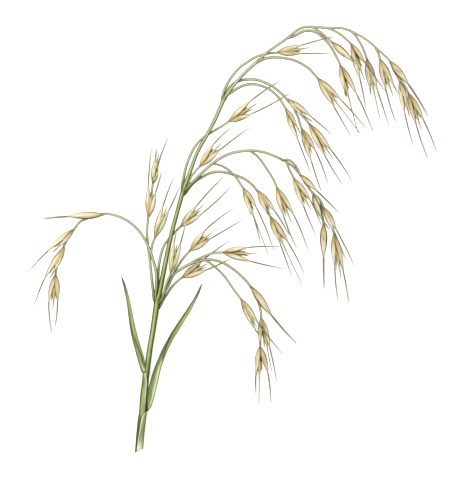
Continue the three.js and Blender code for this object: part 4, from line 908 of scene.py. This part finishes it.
def spikelet(places, stems):
    """The shells of one spikelet: its glumes, its floret's husks and, where its base lies beside
    the stems' rows, a short stalk that joins it to the nearest of them."""
    places = place(places)
    count = (len(places) - 1) // 2
    root, pairs = places[0], places[1:1 + 2 * count].reshape(count, 2, 3)
    middle = (pairs[0][0] + pairs[-1][0]) / 2
    onward = unit(middle - root)
    shells = []
    if norm(stems - root, axis=1).min() > JOINED_PAST:
        start = stems[nearest_to(root - JOINING_BACK * onward, stems)]
        rows, run = evenly(curve([start, root, root + JOINING_ON * onward]), JOINING_STEP)
        radius = np.interp(run, [0, run[-1]], JOINING_RADII)
        shells.append((*tube(rows, radius, STALK_SIDES, JOINING_DRYNESS)[:3], 2))
    for number, (shoulder, tip) in enumerate(pairs):
        length, ahead = norm(shoulder - root), unit(shoulder - root)
        outward = unit(np.cross(ahead, UP))
        tone, lean = chance.uniform(0, 1), chance.uniform(-LEAN, LEAN)
        if count == 1:
            bow, keel_way = 0 * outward, np.cross(outward, ahead)
            size = (BODY_DEPTH, min(BACK_WIDTH, BACK_SHARE * length))
            opening, keel = BACK_OPENING, BACK_KEEL
        else:
            if (pairs[1 - number][0] - shoulder) @ outward > 0:
                outward = -outward
            bow, keel_way = BOW * length * outward, outward
            size, opening, keel = (BODY_WIDTH, BODY_DEPTH), PAIR_OPENING, PAIR_KEEL
        shells.append(husk(root - HEEL * ahead, shoulder, tip, bow, turned_by(keel_way, ahead, lean),
                           size, opening, 0, tone, keel, count == 1))
    tip = places[-1] if len(places) % 2 == 0 else root + FLORET_SHOWN[count] * (middle - root)
    ahead = unit(tip - root)
    level = unit(np.cross(ahead, UP))
    above = np.cross(level, ahead)
    full, body = norm(tip - root), GLUME_SHARE * norm(middle - root)
    start = root + FLORET_START * body * ahead + FLORET_RISE[count] * above
    for own_share, glume_share, apart, size, lift in FLORET_HUSKS:
        length = min(own_share * full, glume_share * body) - FLORET_START * body
        end = start + length * unit(ahead + apart * level) + lift * above
        neck = start + min(NECK_SHARES[0], NECK_SHARES[1] * body / length) * (end - start)
        shells.append(husk(start, neck, end, 0 * above, above if apart == 0 else -above, size,
                           FLORET_OPENING, 1, chance.uniform(0, 1), FLORET_KEEL, True))
    return shells


# Dry glume: a thin papery husk, cream to straw, tan orange at its foot and olive brown in its
# awn. Nerves 0.4 mm apart run along it, and its keel and margins are brown, darkened further by
# painted shade across its visible width, most on its shaded edge, with a painted highlight down
# its middle.
glume_straw, tree, spot, on_it, given = grown("dry papery glume")
halved = add(tree, "Math", {0: given[0], 1: 0.5}, operation="MULTIPLY")
straw = add(tree, "ValToRGB", {"Fac": halved}, {
    0: "#6F6A42", 0.03: "#8C8354", 0.08: "#BFB384", 0.15: "#E4DAB3", 0.27: "#F7F1DA", 0.4: "#F7F3E0",
    0.48: "#D6CFB2", 0.55: "#857F68", 0.72: "#98927F", 0.88: "#C6C3B8", 1: "#FFFFFF"})
blush = add(tree, "ValToRGB", {"Fac": halved}, {
    0: "#6F6440", 0.03: "#8E7F52", 0.08: "#C4AE84", 0.16: "#ECD6B0", 0.27: "#F8EAD4", 0.4: "#F9F3E0",
    0.48: "#D2C8AE", 0.55: "#897B66", 0.72: "#9A8F7E", 0.88: "#C8C1B6", 1: "#FFFFFF"})
blushing = add(tree, "MapRange", {"Value": given[1], "From Min": 0.35})
coloured = add(tree, "Mix", {0: blushing, 6: straw, 7: blush}, **BLENDED)
# Across its visible width: painted shade on its edges, deepest on the shaded one, over its brown keel and
# margins, and a painted highlight in its middle
edge_shade_and_highlight = add(tree, "ValToRGB", {"Fac": given[2]}, {
    0: "#43371F", 0.06: "#5C4D30", 0.12: "#95825A", 0.19: "#DCD0A6", 0.32: "#F5EED4", 0.46: "#FFFDF6",
    0.72: "#FFFFFF", 0.83: "#F1E7CC", 0.89: "#9F8C66", 0.94: "#5F5034", 1: "#463A22"})
on_body = add(tree, "MapRange", {"Value": given[0], "From Min": 0.85, "From Max": 1.15,
                                 "To Min": 1.0, "To Max": 0.35})
edge_shaded = add(tree, "Mix", {0: on_body, 6: coloured, 7: edge_shade_and_highlight}, **TINTED)
nerve, streak = grained(tree, spot, (2.6, 0.5, 0.09), {0.32: "#8F7D50", 0.44: "#EFE6CD", 0.53: "#FFFFFF"},
                        Scale=1.5, Detail=3.0)
streaked = add(tree, "Mix", {0: 0.75, 6: edge_shaded, 7: streak}, **TINTED)
within = add(tree, "Mix", {0: on_it[1], 6: streaked, 7: linear("#B5A67C")}, **BLENDED)
ridged = add(tree, "Bump", {"Height": nerve, "Distance": 0.00004, "Strength": 0.5})
finish(tree, Base_Color=within, Normal=ridged, Roughness=0.62, IOR=1.4, Specular_IOR_Level=0.1,
       Subsurface_Weight=0.1, Subsurface_Radius=(0.0008, 0.0006, 0.0003), Subsurface_Scale=1.0)

# Ripening floret: a harder, slightly glossy husk, olive gold, darker along its edges with painted shade and
# with a painted highlight down its middle.
floret_gold, tree, spot, on_it, given = grown("ripening grass floret")
halved = add(tree, "Math", {0: given[0], 1: 0.5}, operation="MULTIPLY")
gold = add(tree, "ValToRGB", {"Fac": halved}, {
    0: "#7E7248", 0.12: "#B5A978", 0.26: "#DDD4A8", 0.4: "#EBE3C0", 0.5: "#B9B08C", 0.7: "#8F886A",
    1: "#C9C5B2"})
# Painted shade on its edges across its visible width, and a painted highlight in its middle
edge_shade_and_highlight = add(tree, "ValToRGB", {"Fac": given[2]}, {
    0: "#54482A", 0.08: "#6C5F39", 0.17: "#B5A778", 0.3: "#F4EDCF", 0.5: "#FFFFFF", 0.7: "#F4EDCF",
    0.86: "#B0A273", 0.93: "#6C5F39", 1: "#5E5231"})
on_body = add(tree, "MapRange", {"Value": given[0], "From Min": 0.8, "From Max": 1.1,
                                 "To Min": 0.9, "To Max": 0.3})
floret_edge_shaded = add(tree, "Mix", {0: on_body, 6: gold, 7: edge_shade_and_highlight}, **TINTED)
_, streak = grained(tree, spot, (6.0, 0.5, 0.3), {0.35: "#CFC594", 0.6: "#FFFFFF"}, Scale=1.5, Detail=3.0)
streaked = add(tree, "Mix", {0: 0.7, 6: floret_edge_shaded, 7: streak}, **TINTED)
finish(tree, Base_Color=streaked, Roughness=0.42, IOR=1.45, Specular_IOR_Level=0.2)

for branch, found in SPIKELETS.items():
    stems = np.vstack(stem_lines[branch])
    for number, places in enumerate(found, 1):
        add_piece(f"husks_{branch}_{number}", spikelet(places, stems),
                  [glume_straw, floret_gold, culm_green], f"spikelet_{branch}_{number}")
